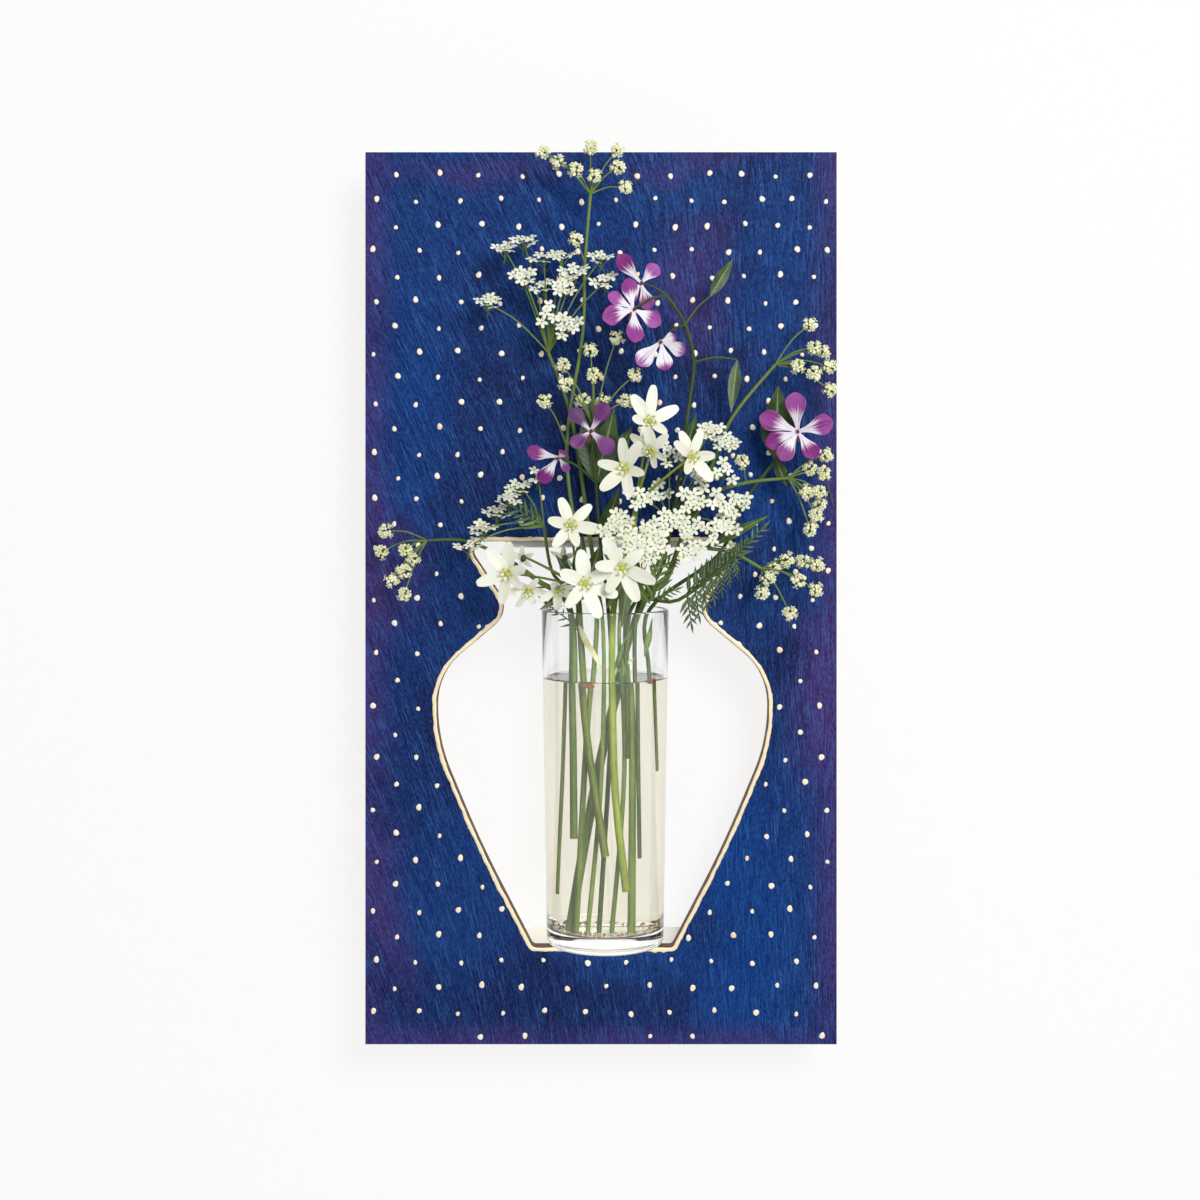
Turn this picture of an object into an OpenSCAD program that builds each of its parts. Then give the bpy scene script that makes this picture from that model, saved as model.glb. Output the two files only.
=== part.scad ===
// Wall vase: a stained plywood panel with a vase-shaped cut-out, a glass that stands in the
// cut-out on a ledge, and the cut flowers that the glass holds.
// The origin is the keyhole's round entry on the wall plane: +Z is up and -Y faces the room.

/* [Panel] */
// Width of the panel
panel_w = 280; // [240:1:400]
// Height of the panel
panel_h = 530; // [500:1:700]
// Thickness of the plywood
panel_t = 9; // [6:0.5:15]
// Share of the panel's height beside the cut-out's that lies above it
head_share = 0.8; // [0.5:0.05:0.9]

/* [Cut-out] */
// Height of the vase-shaped cut-out
cut_h = 241; // [235:1:300]
// Width along the cut-out's flat bottom
cut_base_w = 83; // [76:1:110]
// Width across the belly
cut_belly_w = 197; // [170:1:225]
// Width where the neck's two slopes would meet
cut_neck_w = 109; // [104:1:130]
// Width where the lip's slopes would meet the top edge
cut_lip_w = 164; // [150:1:190]
// How far the cut-out is off the panel's centre line
cut_x = 1; // [-10:0.5:10]
// Width of the gold line round the cut-out
line_w = 3; // [2:0.1:6]
// Thickness of the gold line's paint
line_t = 0.5; // [0.3:0.1:1]

/* [Dots] */
// Number of rows of dots
dot_rows = 35; // [10:1:40]
// Dots across the top row's width
dots_top = 12.7; // [6:0.1:16]
// Dots across the bottom row's width
dots_bottom = 11.1; // [6:0.1:16]
// Radius of a painted dot
dot_r = 1.5; // [1:0.1:2.5]
// Height of a painted dot
dot_t = 0.4; // [0.3:0.1:0.8]
// Bare edge round the dots
dot_margin = 4; // [3:0.5:12]

/* [Blocks] */
// Depth of the hanging block, which stands the panel off the wall
block_d = 42; // [40:1:60]
// Width of the hanging block
block_w = 114; // [80:1:150]
// Height of the hanging block
block_h = 46; // [44:1:70]
// How far the hanging block hangs below the cut-out's top edge
block_drop = 4; // [0:0.5:10]
// Width of the ledge block under the glass
ledge_w = 110; // [90:1:140]
// Height of the ledge block
ledge_h = 30; // [20:1:40]

/* [Hanger] */
// Width of the keyhole plate
plate_w = 16; // [14:1:22]
// Height of the keyhole plate
plate_h = 40; // [39:1:44]
// Thickness of the keyhole plate
plate_t = 2; // [1.5:0.1:2.5]
// Radius of the keyhole's round entry
key_r = 4.5; // [4:0.1:5]
// Width of the keyhole's slot
key_slot_w = 5; // [4:0.1:5]
// Travel from the entry to the top of the slot
key_travel = 8; // [6:0.5:9]
// Shank radius of the plate's wood screws
screw_r = 1.5; // [1.2:0.1:2]
// Length of the wood screws
screw_l = 16; // [12:1:25]
// Radius of a felt wall bumper
bumper_r = 7; // [5:0.5:10]
// Thickness of a felt wall bumper
bumper_t = 2; // [1:0.5:4]

/* [Glass] */
// Height of the glass
glass_h = 200; // [180:1:210]
// Outer radius at the rim
glass_rim_r = 38; // [34:0.5:40]
// Outer radius at the foot
glass_foot_r = 35; // [32:0.5:38]
// Thickness of the glass wall
glass_wall = 2; // [1.5:0.1:3]
// Thickness of the glass base
glass_base = 10; // [6:0.5:16]
// Radius of the foot's rounded edge
glass_foot_round = 4; // [2:0.5:5]
// How far the glass stands off the panel's centre line
glass_x = 2.5; // [-8:0.5:8]

/* [Flowers] */
// Spread of the flowers from side to side
spray_w = 264; // [200:1:300]
// Height of the flowers above the rim
spray_h = 270; // [200:1:300]
// Depth of the flowers in front of the panel
spray_d = 58; // [40:1:80]
// Length of a white star's petal
star_petal = 18; // [12:0.5:24]
// Length of a violet flower's petal
violet_petal = 20; // [12:0.5:26]
// Radius of a lace umbel's small head
lace_r = 8; // [5:0.5:12]
// Radius of a green bud head
bud_r = 5; // [3:0.5:8]
// Radius of the thickest stems
stem_r = 2.6; // [1.5:0.1:3]

/* [Hidden] */

// One overrun serves every cut
over = 1;
// Gap under what only stands on another piece
seat_gap = 0.3;

// Heights, from the keyhole's entry
plate_middle_z = key_travel / 2;
block_low_z = plate_middle_z - block_h / 2;
cut_top_z = block_low_z + block_drop;
cut_low_z = cut_top_z - cut_h;
panel_top_z = cut_top_z + (panel_h - cut_h) * head_share;
panel_low_z = panel_top_z - panel_h;
// Depths, from the wall
face_y = -block_d - panel_t;
glass_y = -block_d;
glass_z = cut_low_z + seat_gap;
rim_z = glass_z + glass_h;
floor_z = glass_z + glass_base;

// The cut-out's half outline from the bottom up: half width, height, fillet radius
flank_share = [0.73, 0.243];
belly_low_share = 0.506;
belly_high_share = 0.674;
neck_share = 0.827;
foot_fillet = 3;
flank_fillet = 600;
belly_low_fillet = 100;
belly_high_fillet = 40;
neck_fillet = 14;
lip_fillet = 6;
fillet_steps = 8;
cut_corners = [
    [0, 0, 0],
    [cut_base_w / 2, 0, foot_fillet],
    [cut_belly_w / 2 * flank_share.x, cut_h * flank_share.y, flank_fillet],
    [cut_belly_w / 2, cut_h * belly_low_share, belly_low_fillet],
    [cut_belly_w / 2, cut_h * belly_high_share, belly_high_fillet],
    [cut_neck_w / 2, cut_h * neck_share, neck_fillet],
    [cut_lip_w / 2, cut_h, lip_fillet],
    [0, cut_h, 0]];

function unit(v) = v / norm(v);
function flat(c) = [c.x, c.y];
// An arc that touches both sides of the corner p, between its neighbours a and b
function fillet(a, p, b, r) =
    let (u = unit(a - p), w = unit(b - p), half = acos(u * w) / 2,
        middle = p + unit(u + w) * r / sin(half),
        first = p + u * r / tan(half) - middle, last = p + w * r / tan(half) - middle,
        from = atan2(first.y, first.x), turn = (atan2(last.y, last.x) - from + 540) % 360 - 180)
    [for (i = [0:fillet_steps]) let (t = from + turn * i / fillet_steps) middle + r * [cos(t), sin(t)]];
half_outline = [for (i = [1:len(cut_corners) - 2])
    each fillet(flat(cut_corners[i - 1]), flat(cut_corners[i]), flat(cut_corners[i + 1]), cut_corners[i].z)];
function mirrored(points) = [for (i = [len(points) - 1:-1:0]) [-points[i].x, points[i].y]];
cut_outline = concat(half_outline, mirrored(half_outline));

// The hand-painted line swells and thins by this share of its width
line_wobble_share = 0.13;
line_wave = 67;
function wave(i) = 1 + line_wobble_share * sin(i * line_wave);
// The outline moved outwards, by a width that varies from point to point
function grown(points, w) = let (n = len(points))
    [for (i = [0:n - 1]) let (along = unit(points[(i + 1) % n] - points[(i + n - 1) % n]))
        points[i] + [along.y, -along.x] * w * wave(i)];

// The dots' rows wander like a hand's: waves of these sizes move them
dot_top_gap = 13.4;
dot_low_gap = 4;
dot_shift = 5.6;
dot_bow_share = 0.17;
dot_wander = 1.2;
dot_size_share = 0.18;
row_sag = 5;
row_sag_from_share = 0.32;
row_sag_to_share = 0.62;
row_pitch = (panel_h - dot_top_gap - dot_low_gap) / (dot_rows - 1);
wander_row = 97;
wander_column = 143;
function row_share(row) = row / (dot_rows - 1);
function row_dots(row) = dots_top + (dots_bottom - dots_top) * row_share(row);
function row_bow(row) = dot_bow_share * (1 - row_share(row));
function sag(row) = let (s = (row_share(row) - row_sag_from_share) / (row_sag_to_share - row_sag_from_share))
    s > 0 && s < 1 ? row_sag * sin(180 * s) : 0;
function dot_x(row, k) = let (n = row_dots(row), s = (k + (row + 1) % 2 / 2) / n, bow = row_bow(row))
    dot_shift + panel_w * (s + bow * s * (1 - s)) + dot_wander * sin(wander_column * k + wander_row * row);
function dot_z(row, k) = panel_top_z - dot_top_gap - row * row_pitch + sag(row)
    + dot_wander * sin(wander_row * k + wander_column * row);
// Half the cut-out's width at a height, nothing above or below it
half_width_table = [for (p = half_outline) [p.y, p.x]];
function open_at(z) = z > cut_low_z - line_w - dot_margin && z < cut_top_z + line_w + dot_margin ?
    lookup(z - cut_low_z, half_width_table) + line_w + dot_margin : 0;
function dot_kept(x, z) = abs(x) < panel_w / 2 - dot_margin && z > panel_low_z + dot_margin
    && abs(x - cut_x) > open_at(z);
dots = [for (row = [0:dot_rows - 1]) for (k = [0:ceil(dots_top)])
    let (x = dot_x(row, k) - panel_w / 2, z = dot_z(row, k))
    if (dot_kept(x, z)) [x, z, 1 + dot_size_share * sin(wander_column * (row + k * k))]];

module on_face(depth) {
    translate([0, face_y + depth, 0]) rotate([90, 0, 0]) children();
}

module panel() {
    color("midnightblue") on_face(panel_t) linear_extrude(panel_t) difference() {
        translate([-panel_w / 2, panel_low_z]) square([panel_w, panel_h]);
        translate([cut_x, cut_low_z]) polygon(cut_outline);
    }
}

module gold_line() {
    color("palegoldenrod") on_face(0) linear_extrude(line_t) translate([cut_x, cut_low_z]) difference() {
        polygon(grown(cut_outline, line_w));
        polygon(cut_outline);
    }
}

module gold_dots() {
    color("moccasin") on_face(0) linear_extrude(dot_t)
        for (d = dots) translate([d.x, d.y]) circle(dot_r * d.z, $fn = 24);
}

// The hanger sits in the rear of the hanging block, with a pocket behind it for the wall screw's head
plate_clear = 0.2;
plate_screw_z = plate_h / 2 - plate_w / 4;
pocket_w = 11;
pocket_d = 9;
pocket_h = key_travel + pocket_w;
screw_head_r = 3;
screw_head_t = 1.8;
drive_w = 0.8;
drive_d = 1.2;

module plate_shape(grow) {
    end_r = plate_w / 2 + grow;
    reach = plate_h / 2 - plate_w / 2;
    translate([-end_r, -reach]) square([2 * end_r, 2 * reach]);
    for (side = [-1, 1]) translate([0, side * reach]) circle(end_r, $fn = 48);
}

module screw_places() {
    for (side = [-1, 1])
        translate([0, 0, plate_middle_z + side * plate_screw_z]) rotate([90, 0, 0]) children();
}

module hanging_block() {
    color("white") difference() {
        translate([-block_w / 2, -block_d, block_low_z]) cube([block_w, block_d, block_h]);
        translate([0, over, plate_middle_z]) rotate([90, 0, 0])
            linear_extrude(plate_t + over) plate_shape(plate_clear);
        translate([-pocket_w / 2, -plate_t - pocket_d, plate_middle_z - pocket_h / 2])
            cube([pocket_w, pocket_d + over, pocket_h]);
        screw_places() cylinder(h = screw_l, r = screw_r, $fn = 24);
    }
}

module hanger_plate() {
    color("silver") difference() {
        translate([0, 0, plate_middle_z]) rotate([90, 0, 0]) linear_extrude(plate_t) plate_shape(0);
        translate([0, over, 0]) rotate([90, 0, 0]) {
            cylinder(h = plate_t + 2 * over, r = key_r, $fn = 48);
            translate([0, key_travel, 0]) cylinder(h = plate_t + 2 * over, r = key_slot_w / 2, $fn = 32);
            translate([-key_slot_w / 2, 0, 0]) cube([key_slot_w, key_travel, plate_t + 2 * over]);
        }
        screw_places() countersink();
    }
}

module countersink() {
    translate([0, 0, -over]) cylinder(h = plate_t + 2 * over, r = screw_r, $fn = 24);
    rotate_extrude($fn = 32) polygon([[0, 0], [screw_head_r, 0], [screw_r, screw_head_t], [0, screw_head_t]]);
}

module hanger_screws() {
    color("gainsboro") screw_places() difference() {
        rotate_extrude($fn = 32) polygon([[0, 0], [screw_head_r, 0], [screw_r, screw_head_t],
            [screw_r, screw_l - 2 * screw_r], [0, screw_l]]);
        for (turn = [0, 90]) rotate(turn)
            translate([-screw_head_r / 2, -drive_w / 2, -over]) cube([screw_head_r, drive_w, drive_d + over]);
    }
}

module ledge_block() {
    color("white") translate([cut_x - ledge_w / 2, -block_d, cut_low_z - ledge_h])
        cube([ledge_w, block_d - bumper_t, ledge_h]);
}

module wall_bumpers() {
    color("saddlebrown") for (side = [-1, 1])
        translate([cut_x + side * (ledge_w / 2 - 2 * bumper_r), 0, cut_low_z - ledge_h / 2])
            rotate([90, 0, 0]) cylinder(h = bumper_t, r = bumper_r, $fn = 48);
}

// The glass's section: a thick base with a shallow hollow under it, straight tapered walls, a round rim
glass_punt_h = 1.5;
glass_ring = 9;
glass_land = 1;
glass_inner_round = 5;
glass_steps = 6;
inner_foot_r = glass_foot_r - glass_wall;
inner_rim_r = glass_rim_r - glass_wall;
rim_round = glass_wall / 2;
function quarter(middle, r, from, to) =
    [for (i = [0:glass_steps]) let (t = from + (to - from) * i / glass_steps) middle + r * [cos(t), sin(t)]];
glass_section = concat(
    [[0, glass_punt_h], [glass_foot_r - glass_ring, glass_punt_h],
        [glass_foot_r - glass_foot_round - glass_land, 0]],
    quarter([glass_foot_r - glass_foot_round, glass_foot_round], glass_foot_round, -90, 0),
    quarter([glass_rim_r - rim_round, glass_h - rim_round], rim_round, 0, 180),
    quarter([inner_foot_r - glass_inner_round, glass_base + glass_inner_round], glass_inner_round, 0, -90),
    [[0, glass_base]]);

module glass() {
    color("lightcyan", 0.4) translate([glass_x, glass_y, glass_z])
        rotate_extrude($fn = 96) polygon(glass_section);
}

// Places above the rim are shares of the flowers' half spread, depth and height
spray_clear = 4;
function above(share) = [glass_x + share.x * spray_w / 2, face_y - spray_clear - share.y * spray_d,
    rim_z + share.z * spray_h];
// Places in the glass are shares of the way from its axis to where a stalk leans on the wall, sideways
// and towards the room, and of its depth: at 0 the stalk stands on the floor
foot_lean_share = 0.15;
function inside(share, stalk_r) =
    let (r = inner_foot_r + (inner_rim_r - inner_foot_r) * share.z - stalk_r - seat_gap)
    [glass_x + share.x * r, glass_y - share.y * r,
        floor_z + seat_gap + stalk_r * foot_lean_share + share.z * (rim_z - floor_z)];

// A smooth curve through the points: each stretch takes its ends' directions from its neighbours
stalk_steps = 3;
function bend(p, i, t) = let (a = p[max(i - 1, 0)], b = p[i], c = p[i + 1], d = p[min(i + 2, len(p) - 1)])
    0.5 * (2 * b + (c - a) * t + (2 * a - 5 * b + 4 * c - d) * t * t + (3 * b - 3 * c + d - a) * t * t * t);
function smooth(p) = [for (i = [0:len(p) - 2]) for (k = [0:stalk_steps - 1]) bend(p, i, k / stalk_steps),
    p[len(p) - 1]];
function heading(p, i) = unit(p[min(i + 1, len(p) - 1)] - p[max(i - 1, 0)]);

// A tube along a line of points, thinning from its foot to its tip
module tube(p, foot_r, tip_r, sides) {
    rings = [for (i = [0:len(p) - 1]) let (along = heading(p, i), across = unit(cross(along, [0, 1, 0])),
        out = cross(along, across), r = foot_r + (tip_r - foot_r) * i / (len(p) - 1))
        for (k = [0:sides - 1]) p[i] + r * (across * cos(360 * k / sides) + out * sin(360 * k / sides))];
    walls = [for (i = [0:len(p) - 2]) for (k = [0:sides - 1])
        let (a = i * sides + k, b = i * sides + (k + 1) % sides)
        each [[a, b + sides, b], [a, a + sides, b + sides]]];
    last = (len(p) - 1) * sides;
    polyhedron(rings, concat(walls, [[for (k = [0:sides - 1]) k]], [[for (k = [sides - 1:-1:0]) last + k]]));
}

stem_sides = 6;
ray_sides = 4;
thin_share = 0.5;
medium_share = 0.7;
thick_share = 0.9;
fork_r_share = 0.6;
tip_r_share = 0.35;
ray_r_share = 0.22;
// A stalk, by its places in the glass and then above the rim, thinning to its tip
module stalk(inside_shares, above_shares, foot_r_share, end_r_share = tip_r_share) {
    foot_r = stem_r * foot_r_share;
    route = concat([for (s = inside_shares) inside(s, foot_r)], [for (s = above_shares) above(s)]);
    tube(smooth(route), foot_r, stem_r * end_r_share, stem_sides);
}

// A thin ray from one place above the rim to another
module ray(from_share, to_share) {
    tube([above(from_share), above(to_share)], stem_r * ray_r_share, stem_r * ray_r_share, ray_sides);
}

// A petal or leaf: a thin blade along +Z that faces -Y, widest at the second of its two waists
blade_t_share = 0.05;
blade_tip_t_share = 0.02;
blade_low_share = 0.35;
blade_high_share = 0.72;
module blade(l, w, low_w_share, curl) {
    t = l * blade_t_share;
    low_z = l * blade_low_share;
    high_z = l * blade_high_share;
    low_w = w * low_w_share / 2;
    base = t / 2;
    points = [[-base, 0, 0], [0, -base, 0], [base, 0, 0], [0, base, 0],
        [-low_w, -curl / 2, low_z], [0, -t / 2, low_z], [low_w, -curl / 2, low_z], [0, t / 2, low_z],
        [-w / 2, -curl, high_z], [0, -t / 2, high_z], [w / 2, -curl, high_z], [0, t / 2, high_z],
        [0, -l * blade_tip_t_share, l]];
    sides = [for (i = [0, 1]) for (k = [0:3]) let (a = 4 * i + k, b = 4 * i + (k + 1) % 4)
        each [[a, a + 4, b + 4], [a, b + 4, b]]];
    ends = [for (k = [0:3]) [8 + k, 12, 8 + (k + 1) % 4]];
    polyhedron(points, concat(sides, ends, [[0, 1, 2, 3]]));
}

// A knob of low rings, for a bud head or a flower's middle
module knob(r, h, lobes, lobe_share) {
    n = 2 * lobes;
    ring = [for (i = [0:n - 1]) let (s = i % 2 == 0 ? r : r * lobe_share, t = 360 * i / n)
        [s * cos(t), s * sin(t), 0]];
    polyhedron(concat(ring, [[0, 0, h / 2], [0, 0, -h / 2]]),
        concat([for (i = [0:n - 1]) [i, n, (i + 1) % n]], [for (i = [0:n - 1]) [i, (i + 1) % n, n + 1]]));
}

star_petal_w_share = 0.42;
star_low_w_share = 0.8;
star_middle_share = 0.3;
star_curl_share = 0.06;
violet_petal_w_share = 0.6;
violet_low_w_share = 0.4;
violet_middle_share = 0.15;
violet_curl_share = 0.1;
middle_lobe_share = 0.8;
// A flower that faces the room, from its place, how far it tips and turns, and its size
module flower(head_share, petal, petals, w_share, low_share, curl_share, middle_share) {
    l = petal * head_share[5];
    turn = head_share[4];
    translate(above(head_share)) rotate([head_share[3], 0, turn]) {
        for (k = [1:petals]) rotate([0, k * 360 / petals + turn, 0])
            blade(l, l * w_share, low_share, l * curl_share);
        rotate([90, 0, 0]) knob(l * middle_share, l * middle_share, 3, middle_lobe_share);
    }
}
module star(head_share) {
    flower(head_share, star_petal, 6, star_petal_w_share, star_low_w_share, star_curl_share,
        star_middle_share);
}
module violet(head_share) {
    flower(head_share, violet_petal, 4, violet_petal_w_share, violet_low_w_share, violet_curl_share,
        violet_middle_share);
}

leaf_low_w_share = 0.7;
// A leaf between two places, lying about flat against the view
module leaf(from_share, to_share, w_share) {
    a = above(from_share);
    d = above(to_share) - a;
    l = norm(d);
    translate(a) rotate([0, atan2(d.x, d.z), 0]) rotate([-asin(d.y / l), 0, 0])
        blade(l, l * w_share, leaf_low_w_share, l * blade_t_share);
}

lace_t_share = 0.45;
lace_lobe_share = 0.6;
lace_tip = 25;
bud_t_share = 1.4;
bud_lobe_share = 0.85;
// Rays from a hub to small flat heads: a lace umbel
module lace(hub_share, head_shares) {
    for (p = head_shares) {
        ray(hub_share, p);
        translate(above(p)) rotate([90 - lace_tip, 0, 0])
            knob(lace_r, lace_r * lace_t_share, 5, lace_lobe_share);
    }
}
// The same with small round heads: an umbel in bud
module buds(hub_share, head_shares) {
    for (p = head_shares) {
        ray(hub_share, p);
        translate(above(p)) rotate([90, 0, 0]) knob(bud_r, bud_r * bud_t_share, 3, bud_lobe_share);
    }
}

// A resize to nothing keeps every size, and makes a cutting's many small forms one mesh
module one_mesh() {
    resize([0, 0, 0]) children();
}

// Each star or violet head is a place, how far it tips and turns, and its size
module star_cutting_left() {
    inside_shares = [[0, 1, 0.25], [-0.3, 0.76, 0.6], [-0.46, 0.62, 1]];
    fork_share = [-0.12, 0.5, 0.06];
    head_shares = [[-0.42, 0.72, 0.09, 10, -12, 1.05], [-0.34, 0.62, 0.055, 35, 20, 0.7],
        [-0.21, 0.66, 0.055, 30, 35, 0.65], [-0.15, 0.68, 0.19, -8, 6, 0.95],
        [-0.09, 0.86, 0.07, -5, 14, 1.1]];
    bud_shares = [[-0.185, 0.46, 0.125], [-0.365, 0.5, 0.125]];
    leaf_tip_share = [-0.29, 0.62, 0.01];
    leaf_w_share = 0.2;
    one_mesh() {
        color("olivedrab") {
            stalk(inside_shares, [fork_share], thick_share, fork_r_share);
            for (h = head_shares) ray(fork_share, h);
            buds(fork_share, bud_shares);
            leaf(fork_share, leaf_tip_share, leaf_w_share);
        }
        color("ivory") for (h = head_shares) star(h);
    }
}

module star_cutting_right() {
    inside_shares = [[0.38, 0.92, 0.14], [0.15, 0.85, 0.5], [0.14, 0.78, 1]];
    knee_share = [0.1, 0.4, 0.08];
    fork_share = [0.135, 0.38, 0.235];
    head_shares = [[0.19, 0.6, 0.41, -6, 10, 0.95], [0.2, 0.7, 0.35, 30, -20, 0.75],
        [0.085, 0.8, 0.31, -4, -14, 1], [0.37, 0.76, 0.335, -4, 20, 0.95], [0.07, 0.9, 0.105, 12, 4, 1.1]];
    one_mesh() {
        color("olivedrab") {
            stalk(inside_shares, [knee_share, fork_share], thick_share, fork_r_share);
            for (h = head_shares) ray(fork_share, h);
        }
        color("ivory") for (h = head_shares) star(h);
    }
}

module lace_cutting_tall() {
    inside_shares = [[-0.5, 0.62, 0], [-0.3, 0.6, 0.6], [-0.14, 0.62, 1]];
    hub_share = [-0.25, 0.36, 0.56];
    above_shares = [[-0.08, 0.14, 0.2], [-0.15, 0.2, 0.42], hub_share];
    head_shares = [[-0.245, 0.5, 0.64], [-0.17, 0.46, 0.615], [-0.515, 0.4, 0.665], [-0.44, 0.42, 0.78],
        [-0.36, 0.32, 0.8], [-0.27, 0.42, 0.76], [-0.36, 0.5, 0.72], [-0.27, 0.34, 0.7], [-0.19, 0.38, 0.765],
        [-0.13, 0.46, 0.73], [-0.18, 0.5, 0.7], [-0.02, 0.4, 0.76], [0, 0.46, 0.71]];
    one_mesh() {
        color("yellowgreen") stalk(inside_shares, above_shares, thin_share);
        color("ivory") lace(hub_share, head_shares);
    }
}

module lace_cutting_left() {
    inside_shares = [[-0.84, 0.54, 0.12], [-0.66, 0.42, 0.55], [-0.6, 0.42, 1]];
    hub_share = [-0.27, 0.3, 0.185];
    above_shares = [[-0.24, 0.12, 0.09], hub_share];
    head_shares = [[-0.6, 0.44, 0.145], [-0.545, 0.4, 0.18], [-0.48, 0.3, 0.215], [-0.42, 0.42, 0.245],
        [-0.37, 0.3, 0.27], [-0.3, 0.28, 0.295]];
    leaf_tip_share = [-0.44, 0.46, 0.24];
    leaf_w_share = 0.4;
    one_mesh() {
        color("yellowgreen") {
            stalk(inside_shares, above_shares, thin_share);
            leaf(hub_share, leaf_tip_share, leaf_w_share);
        }
        color("ivory") lace(hub_share, head_shares);
    }
}

module lace_cutting_right() {
    inside_shares = [[0.44, 0.52, 0], [0.44, 0.58, 0.6], [0.38, 0.58, 1]];
    hub_share = [0.28, 0.34, 0.2];
    above_shares = [[0.22, 0.3, 0.09], hub_share];
    head_shares = [[0.46, 0.5, 0.39], [0.53, 0.44, 0.365], [0.225, 0.36, 0.26], [0.15, 0.64, 0.245],
        [0.28, 0.6, 0.34], [0.42, 0.56, 0.29], [0.52, 0.5, 0.3], [0.49, 0.6, 0.235], [0.38, 0.66, 0.24],
        [0.575, 0.46, 0.235], [0.27, 0.68, 0.2], [0.36, 0.62, 0.185], [0.46, 0.56, 0.175], [0.53, 0.5, 0.19],
        [0.36, 0.68, 0.14]];
    one_mesh() {
        color("yellowgreen") stalk(inside_shares, above_shares, medium_share);
        color("ivory") lace(hub_share, head_shares);
    }
}

module lace_cutting_low() {
    inside_shares = [[0.1, 0.5, 0], [0.3, 0.56, 0.5], [0.26, 0.68, 1]];
    hub_share = [0.155, 0.61, 0.08];
    above_shares = [[0.2, 0.45, 0.03], hub_share];
    head_shares = [[0.07, 0.66, 0.2], [0.02, 0.72, 0.175], [0.12, 0.78, 0.165], [0.19, 0.7, 0.18],
        [0.09, 0.82, 0.14], [0.16, 0.8, 0.135], [0.225, 0.76, 0.15]];
    leaf_tip_share = [0.27, 0.6, 0.15];
    leaf_w_share = 0.2;
    one_mesh() {
        color("yellowgreen") {
            stalk(inside_shares, above_shares, thin_share);
            leaf(above_shares[0], leaf_tip_share, leaf_w_share);
        }
        color("ivory") lace(hub_share, head_shares);
    }
}

module bud_cutting_tall() {
    inside_shares = [[-0.3, 0.66, 0], [-0.06, 0.64, 0.5], [-0.06, 0.78, 1]];
    low_share = [-0.17, 0.3, 0.36];
    high_share = [-0.09, 0.36, 0.75];
    top_share = [-0.065, 0.4, 0.9];
    middle_share = [-0.05, 0.5, 0.4];
    above_shares = [[-0.12, 0.3, 0.16], low_share, [-0.1, 0.34, 0.6], high_share, top_share];
    top_head_shares = [[-0.27, 0.4, 0.99], [-0.21, 0.34, 0.97], [-0.13, 0.44, 0.95], [-0.065, 0.36, 1],
        [-0.045, 0.5, 0.935], [0.055, 0.36, 0.995], [0.055, 0.46, 0.955], [0.09, 0.5, 0.91]];
    side_head_shares = [[-0.13, 0.5, 0.8]];
    low_head_shares = [[-0.265, 0.46, 0.455]];
    middle_head_shares = [[-0.185, 0.5, 0.53], [-0.065, 0.44, 0.565], [0.05, 0.5, 0.59], [0.13, 0.5, 0.51],
        [-0.05, 0.6, 0.51], [-0.175, 0.58, 0.49], [-0.1, 0.44, 0.455],
        [-0.01, 0.44, 0.455], [0.09, 0.48, 0.455]];
    one_mesh() {
        color("olivedrab") {
            stalk(inside_shares, above_shares, thin_share);
            ray(low_share, middle_share);
        }
        color("darkseagreen") {
            buds(top_share, top_head_shares);
            buds(high_share, side_head_shares);
            buds(low_share, low_head_shares);
            buds(middle_share, middle_head_shares);
        }
    }
}

module bud_cutting_left() {
    inside_shares = [[-0.56, 0.82, 0.3], [-0.55, 0.7, 0.7], [-0.62, 0.62, 1]];
    hub_share = [-0.79, 0.24, 0.155];
    above_shares = [[-0.3, 0.34, 0.07], [-0.45, 0.36, 0.12], [-0.62, 0.28, 0.155], hub_share];
    head_shares = [[-0.97, 0.3, 0.175], [-0.99, 0.24, 0.13], [-0.88, 0.36, 0.135], [-0.85, 0.28, 0.115],
        [-0.885, 0.36, 0.09], [-0.94, 0.3, 0.07], [-0.885, 0.34, 0.04]];
    one_mesh() {
        color("olivedrab") stalk(inside_shares, above_shares, thin_share);
        color("darkseagreen") buds(hub_share, head_shares);
    }
}

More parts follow.
